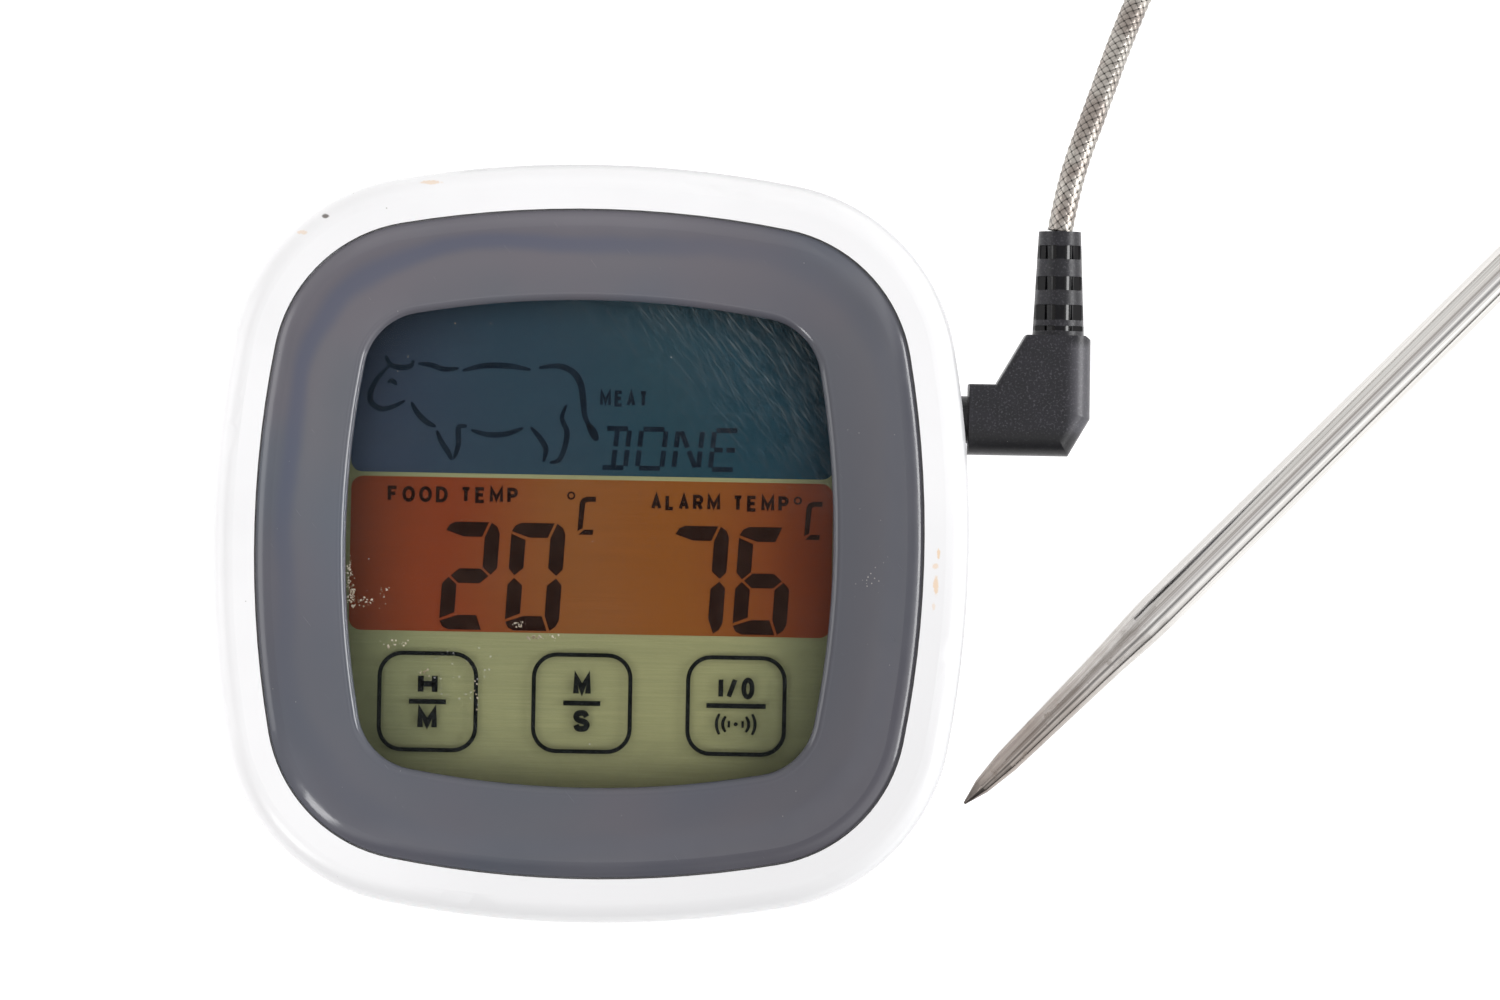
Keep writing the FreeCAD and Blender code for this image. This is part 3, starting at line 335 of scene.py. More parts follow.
class Shader(Nodes):
    """One material. Places are in mm in the row frame, and tones are laid one over another."""

    def __init__(self, name):
        self.material = bpy.data.materials.new(name)
        self.material.use_nodes = True
        super().__init__(self.material.node_tree)
        self.tree.nodes.clear()
        coordinates = self.add("ShaderNodeTexCoord").outputs["Object"]
        self.place = self.vector("SCALE", coordinates, scale=1000.0)
        self.x, self.y, self.z = self.split(self.place)
        self.colour = None

    def vector(self, operation, *values, scale=None):
        node = self.add("ShaderNodeVectorMath", operation=operation)
        for socket, value in zip(node.inputs, values):
            self.feed(socket, value)
        if scale is not None:
            node.inputs["Scale"].default_value = scale
        return node.outputs[0]

    def mix(self, factor, first, second):
        node = self.add("ShaderNodeMix", data_type="RGBA")
        for index, value in ((0, factor), (6, first), (7, second)):
            self.feed(node.inputs[index], value)
        return node.outputs[2]

    def tones(self, factor, first, second):
        """Starts the colour with two tones, the second as much as the factor says."""
        self.colour = self.mix(factor, srgb(*first), srgb(*second))

    def mottle(self, scale, first, second, detail=3):
        """Starts the colour with a slow change between two tones."""
        self.tones(self.ramp(self.noise(scale, detail), 0.35, 0.65), first, second)

    def tint(self, factor, *tone):
        """Lays a tone over the colour so far, as much as the factor says."""
        self.colour = self.mix(factor, self.colour, srgb(*tone))

    def noise(self, scale, detail=2.0, roughness=0.5, stretch=(1, 1, 1), turn=0.0):
        """Noise with a size of about 1/scale mm, drawn out by stretch after a turn about Z."""
        node = self.add("ShaderNodeTexNoise")
        where = self.place
        if turn:
            turned = self.add("ShaderNodeVectorRotate", rotation_type="Z_AXIS")
            self.feed(turned.inputs["Vector"], where)
            turned.inputs["Angle"].default_value = turn
            where = turned.outputs[0]
        self.feed(node.inputs["Vector"], self.vector("MULTIPLY", where, stretch))
        node.inputs["Scale"].default_value = scale
        node.inputs["Detail"].default_value = detail
        node.inputs["Roughness"].default_value = roughness
        return node.outputs[0]

    def cells(self, scale, output="Distance"):
        """Voronoi cells of about 1/scale mm."""
        node = self.add("ShaderNodeTexVoronoi")
        self.feed(node.inputs["Vector"], self.place)
        node.inputs["Scale"].default_value = scale
        return node.outputs[output]

    def specks(self, scale, size, share):
        """A mask of small scattered dots: share of the cells have one."""
        spot = self.ramp(self.cells(scale), size, size * 0.5)
        split = self.add("ShaderNodeSeparateColor")
        self.feed(split.inputs[0], self.cells(scale, output="Color"))
        return self.times(spot, self.math("LESS_THAN", split.outputs[0], share))

    def patch(self, x, y, wide, tall, ragged, grain=1.5):
        """A mask of one ragged patch about a point."""
        u = self.times(self.minus(self.x, x), 1 / wide)
        v = self.times(self.minus(self.y, y), 1 / tall)
        rough = self.scaled(self.noise(grain, 4, 0.65), ragged * 2, -ragged)
        return self.ramp(self.plus(self.diagonal(u, v), rough), 1.0, 0.55)

    def bump(self, height, strength, distance, normal=None):
        """A relief of distance mm."""
        node = self.add("ShaderNodeBump")
        self.feed(node.inputs["Height"], height)
        node.inputs["Strength"].default_value = strength
        node.inputs["Distance"].default_value = distance * MM
        if normal:
            self.feed(node.inputs["Normal"], normal)
        return node.outputs[0]

    def principled(self, colour, roughness, **sockets):
        node = self.add("ShaderNodeBsdfPrincipled")
        self.feed(node.inputs["Base Color"], colour)
        self.feed(node.inputs["Roughness"], roughness)
        for name, value in sockets.items():
            self.feed(node.inputs[name.replace("_", " ")], value)
        return node.outputs[0]

    def done(self, surface):
        output = self.add("ShaderNodeOutputMaterial")
        self.feed(output.inputs["Surface"], surface)
        return self.material

    def finish(self, roughness, **sockets):
        """The finished material, with the colour so far on one principled surface."""
        return self.done(self.principled(self.colour, roughness, **sockets))


def moulded(name, light, dark, roughness, grain=6.0, relief=0.004, **sockets):
    """Moulded plastic: a slow change of tone, a fine skin and uneven gloss."""
    s = Shader(name)
    s.mottle(0.09, dark, light)
    gloss = s.ramp(s.noise(1.1, 4, 0.6), 0.3, 0.7, roughness * 0.85, roughness * 1.15)
    normal = s.bump(s.noise(grain, 3), 0.5, relief)
    return s.finish(gloss, Normal=normal, **sockets)


# middle x and y, half width and half height in mm, and strength of each stain on the rim
STAINS = (
    (-15.8, 34.3, 1.3, 0.25, 0.4), (-28.0, 29.3, 0.7, 0.25, 0.36), (33.4, -0.4, 0.2, 0.6, 0.56),
    (33.1, -1.5, 0.35, 0.35, 0.4), (33.2, -3.4, 0.3, 1.0, 0.52), (33.0, -5.4, 0.2, 0.5, 0.28),
)


def housing_plastic():
    """Glossy white plastic with food stains and dark specks, and painted shade that makes it greyer towards
    the lower right and along its upper and right shoulder.
    """
    s = Shader("housing_plastic")
    s.mottle(0.06, (228, 228, 229), (232, 232, 233))
    # painted shade: greyer towards the lower right
    painted_shade_lower_right = s.ramp(s.minus(s.times(s.x, 0.6), s.y), 5.0, 46.0, 0.0, 0.8)
    s.tint(painted_shade_lower_right, 215, 215, 216)
    # painted shade: the upper and right shoulder of the rounding is greyer
    upper_right = s.ramp(s.plus(s.x, s.times(s.y, 0.6)), -5.0, 20.0, 0.0, 0.75)
    shoulder = s.times(s.ramp(s.z, 20.4, 19.2), s.ramp(s.z, 17.0, 18.4))
    s.tint(s.times(shoulder, upper_right), 165, 166, 168)
    for x, y, wide, tall, strength in STAINS:
        mask = s.times(s.patch(x, y, wide, tall, 0.7, 2.5), strength)
        s.tint(mask, 222, 176, 112)
    speck = s.patch(-25.8, 30.9, 0.42, 0.3, 0.5)
    s.tint(s.times(speck, 0.85), 70, 58, 48)
    dust = s.times(s.specks(0.55, 0.05, 0.25), 0.55)
    s.tint(dust, 120, 112, 104)
    gloss = s.ramp(s.noise(0.3, 4, 0.6), 0.3, 0.7, 0.2, 0.27)
    normal = s.bump(s.noise(0.5, 1), 0.3, 0.002)
    return s.finish(gloss, Normal=normal, IOR=1.5)


def ring_distance(s, power=3.4):
    """How far out a place is, in mm, counted along the soft square of the bezel."""
    parts = [s.math("POWER", s.math("ABSOLUTE", axis), power) for axis in (s.x, s.y)]
    return s.math("POWER", s.plus(*parts), 1 / power)


def bezel_plastic():
    """Grey gloss plastic with dust and hairlines, painted reflections in soft tonal bands that follow the
    ring, and painted shade to the lower left and lower right.
    """
    s = Shader("bezel_plastic")
    wander = s.scaled(s.noise(0.08, 2), 2.4, -1.2)
    across = s.plus(ring_distance(s), wander)
    # painted reflections: soft bands that follow the ring, lighter over the outer rounding
    s.tones(s.ramp(across, 24.0, 27.5), (88, 90, 97), (94, 94, 100))
    s.tint(s.ramp(across, 27.0, 29.5), 86, 88, 96)
    s.tint(s.ramp(across, 29.8, 31.6), 104, 105, 112)
    warm = s.ramp(s.noise(0.05, 2), 0.4, 0.62)
    s.tint(s.times(warm, 0.5), 98, 92, 99)
    cool = s.ramp(s.noise(0.045, 1, 0.5, (1, 0.6, 1), 0.4), 0.45, 0.62)
    s.tint(s.times(cool, 0.55), 78, 87, 100)
    # painted reflection: a darker bluish band over the upper left
    band = s.times(s.ramp(across, 27.6, 28.7), s.ramp(across, 30.2, 29.1))
    upper_left = s.ramp(s.minus(s.y, s.x), 5.0, 38.0, 0.1, 0.6)
    s.tint(s.times(band, upper_left), 72, 78, 98)
    # painted shade: darker and bluer to the lower left, darker to the lower right
    painted_shade_lower_left = s.ramp(s.plus(s.x, s.y), -18.0, -40.0, 0.0, 0.5)
    s.tint(painted_shade_lower_left, 72, 76, 86)
    painted_shade_lower_right = s.ramp(s.minus(s.x, s.times(s.y, 0.45)), -15.0, 36.0, 0.0, 0.56)
    s.tint(painted_shade_lower_right, 56, 56, 63)
    dust = s.specks(0.9, 0.045, 0.22)
    crust = s.times(s.patch(26.9, -2.2, 1.9, 3.0, 0.9, 2.5), s.specks(2.6, 0.2, 0.45))
    marks = s.math("MAXIMUM", dust, crust)
    s.tint(s.times(marks, 0.6), 176, 172, 166)
    hairs = s.ramp(s.noise(1.0, 2, 0.5, (0.25, 6.0, 1), 0.9), 0.68, 0.76)
    gloss = s.scaled(hairs, 0.12, s.ramp(s.noise(0.5, 4), 0.3, 0.7, 0.1, 0.18))
    gloss = s.math("MAXIMUM", gloss, s.times(marks, 0.7))
    normal = s.bump(s.noise(0.35, 2), 0.4, 0.012)
    normal = s.bump(marks, 0.6, 0.03, normal)
    return s.finish(gloss, Normal=normal, IOR=1.5)


def clear_sheet(name, tint, haze, shine_share, gloss=0.04):
    """Clear plastic or film: it lets the light through with a tint and reflects at its face."""
    s = Shader(name)
    through = s.add("ShaderNodeBsdfTransparent")
    through.inputs["Color"].default_value = (*tint, 1.0)
    shine = s.add("ShaderNodeBsdfGlossy")
    shine.inputs["Roughness"].default_value = gloss
    shine.inputs["Color"].default_value = (1, 1, 1, 1)
    weight = s.add("ShaderNodeLayerWeight")
    weight.inputs["Blend"].default_value = 0.5
    grazing = s.math("POWER", weight.outputs["Facing"], 5.0)
    surface = s.add("ShaderNodeMixShader")
    s.feed(surface.inputs[0], s.scaled(grazing, 0.9, shine_share))
    s.feed(surface.inputs[1], through.outputs[0])
    s.feed(surface.inputs[2], shine.outputs[0])
    powder = s.add("ShaderNodeBsdfDiffuse")
    powder.inputs["Color"].default_value = (0.75, 0.74, 0.72, 1.0)
    dusted = s.add("ShaderNodeMixShader")
    s.feed(dusted.inputs[0], haze(s))
    s.feed(dusted.inputs[1], surface.outputs[0])
    s.feed(dusted.inputs[2], powder.outputs[0])
    return s.done(dusted.outputs[0])


def lens_haze(s):
    """Hairline scratches over the upper right, dried splashes by the first key, dust."""
    upper = s.plus(s.times(s.x, 0.8), s.y)
    corner = s.ramp(upper, 14.0, 32.0)
    hairs = s.ramp(s.noise(1.0, 2, 0.5, (0.3, 11.0, 1), 0.85), 0.58, 0.72)
    finer = s.ramp(s.noise(1.0, 2, 0.5, (0.45, 17.0, 1), 1.05), 0.58, 0.72)
    scratches = s.times(s.math("MAXIMUM", hairs, finer), corner)
    dried = s.patch(-12.0, -12.0, 5.5, 4.5, 0.9, 0.9)
    splashes = s.times(dried, s.specks(1.7, 0.22, 0.4))
    dust = s.specks(0.42, 0.035, 0.16)
    grease = s.ramp(s.noise(0.16, 4, 0.6), 0.5, 0.75)
    haze = s.times(scratches, 0.1)
    haze = s.scaled(splashes, 0.22, haze)
    haze = s.scaled(grease, 0.003, haze)
    haze = s.scaled(dust, 0.6, haze)
    return s.scaled(corner, 0.002, haze)


def film_haze(s):
    """The film's clear tracks show as a very faint grid."""
    lines = [s.math("PINGPONG", axis, 1.6) for axis in (s.x, s.y)]
    near = s.math("MINIMUM", *lines)
    return s.times(s.ramp(near, 0.06, 0.02), 0.004)


def fine_lines(s):
    """The fine even lines of a display's polariser."""
    weave = s.noise(1.0, 2, 0.6, (0.12, 9.0, 1))
    s.tint(s.ramp(weave, 0.3, 0.7, 0.0, 0.12), 0, 0, 0)


def display_finish(name, stops, painted_edge_shade, corners=(4.5, 16.0, 24.5)):
    """A display area whose colour goes across by stops of (x, colour), with painted shade that darkens it
    towards its edges.

    The corners say how square the painted shade is, where it starts and where it is full.
    """
    s = Shader(name)
    s.colour = srgb(*stops[0][1])
    sway = s.scaled(s.noise(0.07, 2), 6.0, -3.0)
    across = s.plus(s.x, sway)
    for (start, _), (stop, tone) in zip(stops, stops[1:]):
        s.tint(s.ramp(across, start, stop), *tone)
    power, inside, outside = corners
    # painted shade towards the window's edge
    edge = s.ramp(ring_distance(s, power), inside, outside)
    s.colour = s.mix(s.times(edge, painted_edge_shade), s.colour, (0.005, 0.008, 0.01, 1))
    fine_lines(s)
    return s.finish(0.35, Specular_IOR_Level=0.04)


def printed(name, tone):
    """Dark display segments, slightly uneven in depth."""
    s = Shader(name)
    lighter = tuple(min(255, value + 12) for value in tone)
    s.tones(s.ramp(s.noise(0.8, 4, 0.6), 0.35, 0.7), tone, lighter)
    fine_lines(s)
    return s.finish(0.4, Specular_IOR_Level=0.05)


def plug_plastic():
    """Spark-eroded black plastic with fine grain and a glossy core in the strain relief, a painted
    highlight along its right shoulder, and painted shade on its front end, over the relief's rows and in
    its slots.
    """
    s = Shader("plug_plastic")
    from_axis = s.diagonal(s.minus(s.x, RELIEF_X), s.minus(s.z, PLUG_Z))
    outside = s.ramp(s.y, RELIEF_LOW_Y, RELIEF_HIGH_Y, 2.5, 2.05)
    inwards = s.ramp(s.minus(outside, from_axis), 0.1, 0.2)
    # the glossy core and the slot floors beside it, which are darkened below as painted shade
    core = s.times(inwards, s.math("GREATER_THAN", s.y, 21.3))
    core = s.times(core, s.math("LESS_THAN", s.y, 30.4))
    s.mottle(0.5, (15, 15, 21), (21, 20, 27), 4)
    # painted highlight: a lighter band along the right shoulder, laid with the fine grain
    shoulder = s.times(s.ramp(s.x, 45.4, 47.0), s.ramp(s.x, 48.3, 47.5, 0.4, 1.0))
    shoulder = s.times(shoulder, s.ramp(s.y, 20.6, 19.6))
    grain_and_painted_highlight = s.scaled(shoulder, 0.5, s.ramp(s.noise(4.5, 2, 0.6), 0.5, 0.75, 0.0, 0.35))
    s.tint(grain_and_painted_highlight, 96, 95, 101)
    # painted shade: the plug's front end is darker
    foot = s.ramp(s.y, 12.1, 10.9, 0.0, 0.75)
    s.tint(foot, 7, 7, 9)
    # painted shade: the relief's rows get a darker, duller surface mixed in
    rows = 0.0
    for low, high in RELIEF_ROWS:
        off_middle = s.math("ABSOLUTE", s.minus(s.y, (low + high) / 2))
        row = s.ramp(s.minus((high - low) / 2, off_middle), 0.0, 0.08)
        rows = s.math("MAXIMUM", row, rows)
    rows = s.times(rows, s.minus(1.0, core))
    lint = s.times(s.specks(1.5, 0.06, 0.3), 0.5)
    s.tint(lint, 150, 148, 146)
    # painted shade over the core and the slot floors
    s.tint(core, 13, 13, 15)
    grain = s.noise(7.0, 3, 0.7)
    rough = s.ramp(grain, 0.3, 0.7, 0.3, 0.44)
    rough = s.times(rough, s.scaled(core, -0.72, 1.0))
    relief = s.times(grain, s.scaled(core, -0.9, 1.0))
    normal = s.bump(relief, 0.9, 0.014)
    surface = s.add("ShaderNodeMixShader")
    s.feed(surface.inputs[0], s.times(rows, 0.85))
    s.feed(surface.inputs[1], s.principled(s.colour, rough, Normal=normal, Specular_IOR_Level=0.42))
    s.feed(surface.inputs[2], s.principled(srgb(12, 12, 14), 0.5, Normal=normal, Specular_IOR_Level=0.1))
    return s.done(surface.outputs[0])


def probe_steel():
    """Drawn stainless tube: fine lines along it whose darker streaks are partly painted reflections, a
    little heat tint and old residue at its tip.
    """
    s = Shader("probe_steel")
    c, n = math.cos(PROBE_ANGLE), math.sin(PROBE_ANGLE)
    dx, dy = s.minus(s.x, PROBE_TIP.x), s.minus(s.y, PROBE_TIP.y)
    along = s.plus(s.times(dx, c), s.times(dy, n))
    lines = s.noise(1.0, 3, 0.6, (0.03, 9.0, 9.0), -PROBE_ANGLE)
    # the fine drawn lines; their darker streaks are partly painted reflections of dark surroundings
    s.tones(s.ramp(lines, 0.35, 0.65), (196, 193, 189), (222, 220, 217))
    tip = s.ramp(s.plus(along, s.times(s.noise(0.3, 3), 14.0)), 42.0, 12.0)
    s.tint(s.times(tip, 0.75), 126, 112, 102)
    point = s.ramp(along, 4.0, 0.5)
    s.tint(s.times(point, 0.8), 84, 78, 74)
    residue = s.times(s.ramp(s.noise(0.8, 5, 0.7), 0.58, 0.68), tip)
    s.tint(s.times(residue, 0.45), 104, 90, 76)
    gloss = s.ramp(lines, 0.3, 0.7, 0.12, 0.16)
    gloss = s.scaled(residue, 0.25, gloss)
    normal = s.bump(lines, 0.15, 0.0015)
    return s.finish(gloss, Normal=normal, Metallic=1.0)


def bright_metal(name, tone, roughness=0.25):
    """Plated metal with small scuffs."""
    s = Shader(name)
    darker = tuple(value * 0.93 for value in tone)
    s.mottle(0.6, darker, tone, 4)
    scuffs = s.ramp(s.noise(1.0, 3, 0.6, (0.6, 6.0, 3.0), 0.5), 0.55, 0.7)
    gloss = s.scaled(scuffs, 0.075, roughness)
    normal = s.bump(s.noise(5.0, 3), 0.3, 0.004)
    return s.finish(gloss, Normal=normal, Metallic=1.0)


def board_finish():
    """Green solder mask over copper tracks, with tinned pads."""
    s = Shader("board_finish")
    off_track = s.math("ABSOLUTE", s.minus(s.cells(0.35), 0.45))
    tracks = s.ramp(off_track, 0.06, 0.03)
    s.tones(tracks, (22, 70, 40), (44, 106, 58))
    pads = s.specks(0.5, 0.16, 0.5)
    s.tint(pads, 190, 190, 186)
    normal = s.bump(s.math("MAXIMUM", tracks, pads), 0.6, 0.03)
    return s.finish(0.35, Normal=normal, Metallic=pads)


def striped(name, first, second, period):
    """Thin layers of two materials along X, as in a zebra connector."""
    s = Shader(name)
    stripe = s.ramp(s.math("PINGPONG", s.x, period), period * 0.4, period * 0.6)
    s.tones(stripe, first, second)
    return s.finish(0.5, Normal=s.bump(stripe, 0.3, 0.01))


def battery_skin():
    """A shrink sleeve in two plain colours, with the bare steel can at both ends."""
    s = Shader("battery_skin")
    low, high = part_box("battery_upper")
    middle, half = (low.x + high.x) / 2 / MM, (high.x - low.x) / 2 / MM
    off = s.math("ABSOLUTE", s.minus(s.x, middle))
    steel = s.ramp(off, half - 1.2, half - 1.1)
    band = s.ramp(s.x, middle + half * 0.35, middle + half * 0.36)
    s.tones(band, (34, 36, 42), (176, 120, 62))
    s.tint(steel, 196, 196, 198)
    rough = s.ramp(s.noise(0.9, 3), 0.3, 0.7, 0.2, 0.32)
    normal = s.bump(s.noise(1.4, 3), 0.3, 0.01)
    return s.finish(rough, Normal=normal, Metallic=steel)


BRAID_PITCH = 7.2
BRAID_DEEP = 0.25
CARRIERS = 8
WIRES = 5
AROUND = 36
FINE_STEP, COARSE_STEP, FINE_LENGTH = 0.165, 0.52, 135.0


def braid_steel():
    """Ribbons of fine steel wire that pass over and under each other, with painted shade between them and
    between their wires.
    """
    s = Shader("braid_steel")
    length, around, _ = s.split(s.add("ShaderNodeUVMap", uv_map="braid").outputs[0])
    first = s.times(s.plus(around, length), float(CARRIERS))
    second = s.times(s.minus(around, length), float(CARRIERS))
    heights = []
    wires = []
    for own, other, sign in ((first, second, 0.5), (second, first, -0.5)):
        middle = s.math("ROUND", own)
        aside = s.math("ABSOLUTE", s.minus(own, middle))
        body = s.ramp(aside, 0.5, 0.36)
        wave = s.math("COSINE", s.times(s.plus(other, middle), math.pi))
        rise = s.scaled(wave, sign * 0.65, 0.675)
        heights.append(s.times(body, rise))
        wires.append(s.math("ABSOLUTE", s.math("COSINE", s.times(own, math.pi * WIRES))))
    over = s.math("GREATER_THAN", heights[0], heights[1])
    top = s.math("MAXIMUM", *heights)
    wire = s.add("ShaderNodeMix", data_type="FLOAT")
    for index, value in ((0, over), (2, wires[1]), (3, wires[0])):
        s.feed(wire.inputs[index], value)
    wire = wire.outputs[0]
    # painted shade: the ribbons darken where they dip under each other, between their wires and in the gaps
    bright = s.times(s.ramp(top, 0.5, 0.86), s.ramp(wire, 0.0, 0.7, 0.6, 1.0))
    s.tones(s.ramp(s.noise(0.25, 3), 0.4, 0.6), (160, 151, 144), (186, 181, 174))
    s.tint(s.minus(1.0, bright), 22, 20, 18)
    rough = s.ramp(s.noise(2.0, 3), 0.3, 0.7, 0.24, 0.36)
    normal = s.bump(wire, 0.3, 0.03)
    return s.finish(rough, Normal=normal, Metallic=0.9)


# ---------------------------------------------------------------- the lead

PLUG_SIDE = (
    (RELIEF_X, RELIEF_HIGH_Y, PLUG_Z), (45.7, 36.0, PLUG_Z), (48.3, 43.2, 8.8), (51.15, 51.2, 4.7),
    (54.7, 59.6, 1.6), (59.6, 68.4, 1.3), (66.0, 77.5, 1.3), (70.6, 86.3, 1.3),
)
PROBE_SIDE = (
    (95.5, 106.9, 8.3), (103.8, 106.6, 5.9), (112.5, 107.0, 2.6), (121.6, 106.5, 1.3),
    (131.4, 106.8, 1.3), (139.7, 101.3, 1.3), (143.5, 92.1, 1.3), (141.7, 82.3, 1.7),
)
PROBE_LONG = 141.0
CABLE_ROUND = 1.25
COIL_X, COIL_Y = 88.0, 90.3
COIL_TURNS = 10.25
COIL_LAYERS = 4
COIL_LARGE, COIL_SMALL = 16.5, 10.1
COIL_STEPS = 18
COIL_LOW_Z, COIL_PITCH = 1.3, 2.5


def coil_points():
    """The put-away turns: four flat layers, wound inwards and outwards by turns."""
    count = round(COIL_TURNS * COIL_STEPS)
    points = []
    for step in range(count + 1):
        share = step / count * COIL_LAYERS
        layer = min(int(share), COIL_LAYERS - 1)
        inside = share - layer
        across = inside if layer % 2 == 0 else 1 - inside
        radius = COIL_LARGE + (COIL_SMALL - COIL_LARGE) * across
        rise = max(0.0, (inside - 0.8) / 0.2) if layer < COIL_LAYERS - 1 else 0.0
        z = COIL_LOW_Z + COIL_PITCH * (layer + rise * rise * (3 - 2 * rise))
        angle = math.pi - TAU * COIL_TURNS * step / count
        points.append((COIL_X + radius * math.cos(angle), COIL_Y + radius * math.sin(angle), z))
    return points


def lead_route():
    """The whole lead's control points, from the plug through the coil to the probe."""
    end = PROBE_TIP + Vector((math.cos(PROBE_ANGLE), math.sin(PROBE_ANGLE), 0)) * PROBE_LONG
    return [*PLUG_SIDE, *coil_points(), *PROBE_SIDE, tuple(end)]


def spline_line(points):
    """The points of one NURBS spline with the given control points."""
    curve = bpy.data.curves.new("lead_route", "CURVE")
    curve.dimensions = "3D"
    curve.resolution_u = 14
    spline = curve.splines.new("NURBS")
    spline.points.add(len(points) - 1)
    for point, place in zip(spline.points, points):
        point.co = (*mm(*place), 1.0)
    spline.order_u = 3
    spline.use_endpoint_u = True
    holder = bpy.data.objects.new("lead_route", curve)
    mesh = bpy.data.meshes.new_from_object(holder)
    line = [vertex.co.copy() for vertex in mesh.vertices]
    bpy.data.objects.remove(holder)
    bpy.data.curves.remove(curve)
    bpy.data.meshes.remove(mesh)
    return line


def braid_lift(around, length):
    """How high the braid stands at a place, 0 in its gaps to 1 on its ribbons' crowns."""
    first = CARRIERS * (around + length)
    second = CARRIERS * (around - length)
    best = 0.0
    for own, other, sign in ((first, second, 0.5), (second, first, -0.5)):
        middle = round(own)
        body = max(0.0, 1 - (2.05 * abs(own - middle)) ** 4) ** 0.5
        wave = math.cos(math.pi * (other + middle))
        best = max(best, body * (0.675 + sign * 0.65 * wave))
    return best


def braided_tube(name, line):
    """A tube along the line whose surface is a woven braid, finer where it is seen close."""
    travelled = [0.0]
    for before, after in zip(line, line[1:]):
        travelled.append(travelled[-1] + (after - before).length)
    total = travelled[-1]
    stops = []
    at = 0.0
    while at < total:
        stops.append(at)
        at += (FINE_STEP if at < FINE_LENGTH * MM else COARSE_STEP) * MM
    stops.append(total)
    bm = bmesh.new()
    layer = bm.loops.layers.uv.new("braid")
    rows = []
    index = 0
    side = Vector((0, 0, 1))
    for at in stops:
        while index < len(line) - 2 and travelled[index + 1] < at:
            index += 1
        share = (at - travelled[index]) / (travelled[index + 1] - travelled[index])
        here = line[index].lerp(line[index + 1], share)
        before = line[max(index - 1, 0)]
        after = line[min(index + 2, len(line) - 1)]
        along = (line[index + 1] - before).lerp(after - line[index], share).normalized()
        side = (side - along * side.dot(along)).normalized()
        other = along.cross(side)
        row = []
        for step in range(AROUND):
            turn = step / AROUND
            lift = braid_lift(turn, at / MM / BRAID_PITCH)
            radius = (CABLE_ROUND - BRAID_DEEP + BRAID_DEEP * lift) * MM
            angle = TAU * turn
            row.append(bm.verts.new(here + (side * math.cos(angle) + other * math.sin(angle)) * radius))
        rows.append(row)
    for (start, row), (stop, following) in zip(zip(stops, rows), zip(stops[1:], rows[1:])):
        for step in range(AROUND):
            after = (step + 1) % AROUND
            face = bm.faces.new((row[step], row[after], following[after], following[step]))
            corners = ((start, step), (start, step + 1), (stop, step + 1), (stop, step))
            for loop, (length, turn) in zip(face.loops, corners):
                loop[layer].uv = (length / MM / BRAID_PITCH, turn / AROUND)
    bm.faces.new(rows[0][::-1])
    bm.faces.new(rows[-1])
    mesh = bpy.data.meshes.new(name)
    bm.to_mesh(mesh)
    bm.free()
    return mesh, total


def make_lead():
    line = spline_line(lead_route())
    mesh, total = braided_tube("lead_braid", line)
    lead = add_piece("lead_braid", mesh, braid_steel(), "probe_lead")
    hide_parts("cable_plug_side", "cable_coil", "cable_probe_side")


# ---------------------------------------------------------------- the display

ZONE_LOW, ZONE_HIGH = GLASS_Z, GLASS_Z + 0.025
INK_HIGH = ZONE_HIGH + 0.025
SLANT = math.tan(math.radians(3.3))

SEGMENTS = {"0": "abcdef", "2": "abged", "6": "acdefg", "7": "abc"}


DIGIT_LOW, DIGIT_WIDE, DIGIT_HIGH = -8.45, 5.2, 10.35
DIGIT_THICK, DIGIT_GAP = 1.42, 0.2


def seven_segment(ink, sign, left):
    """One display digit from its lit segments, with mitred ends and softened corners."""
    t, g, w, h = DIGIT_THICK, DIGIT_GAP, DIGIT_WIDE, DIGIT_HIGH
    mid = h / 2
    top = [(0.02 * t, h - 0.58 * t), (0.25 * t, h - 0.18 * t), (0.65 * t, h),
           (w - 0.78 * t, h), (w - 1.18 * t, h - t), (1.25 * t, h - t)]
    upper_left = [(0, h - 0.74 * t), (t, h - 1.16 * t), (t, mid + 0.45 * t + g),
                  (0.42 * t, mid + 0.6 * g), (0, mid + 0.4 * t + g)]
    upper_right = [(w - 0.6 * t, h - 0.02 * t), (w - 0.2 * t, h - 0.3 * t), (w, h - 0.75 * t),
                   (w, mid + 0.4 * t + g), (w - 0.42 * t, mid + 0.6 * g),
                   (w - t, mid + 0.45 * t + g), (w - t, h - 1.02 * t)]
    middle = [(0.55 * t, mid), (1.1 * t, mid + 0.5 * t), (w - 1.1 * t, mid + 0.5 * t),
              (w - 0.55 * t, mid), (w - 1.1 * t, mid - 0.5 * t), (1.1 * t, mid - 0.5 * t)]
    shapes = {"a": top, "f": upper_left, "b": upper_right, "g": middle}
    for name, source in (("d", top), ("e", upper_left), ("c", upper_right)):
        shapes[name] = [(x, h - y) for x, y in source]
    for name in SEGMENTS[sign]:
        ink.polygon([(left + x + y * SLANT, DIGIT_LOW + y) for x, y in shapes[name]])


STARBURST = {"D": "abcdil", "O": "abcdef", "N": "efbchm", "E": "adefgk"}
STAR_LOW, STAR_WIDE, STAR_HIGH, STAR_STEP = 7.35, 2.35, 3.75, 3.5


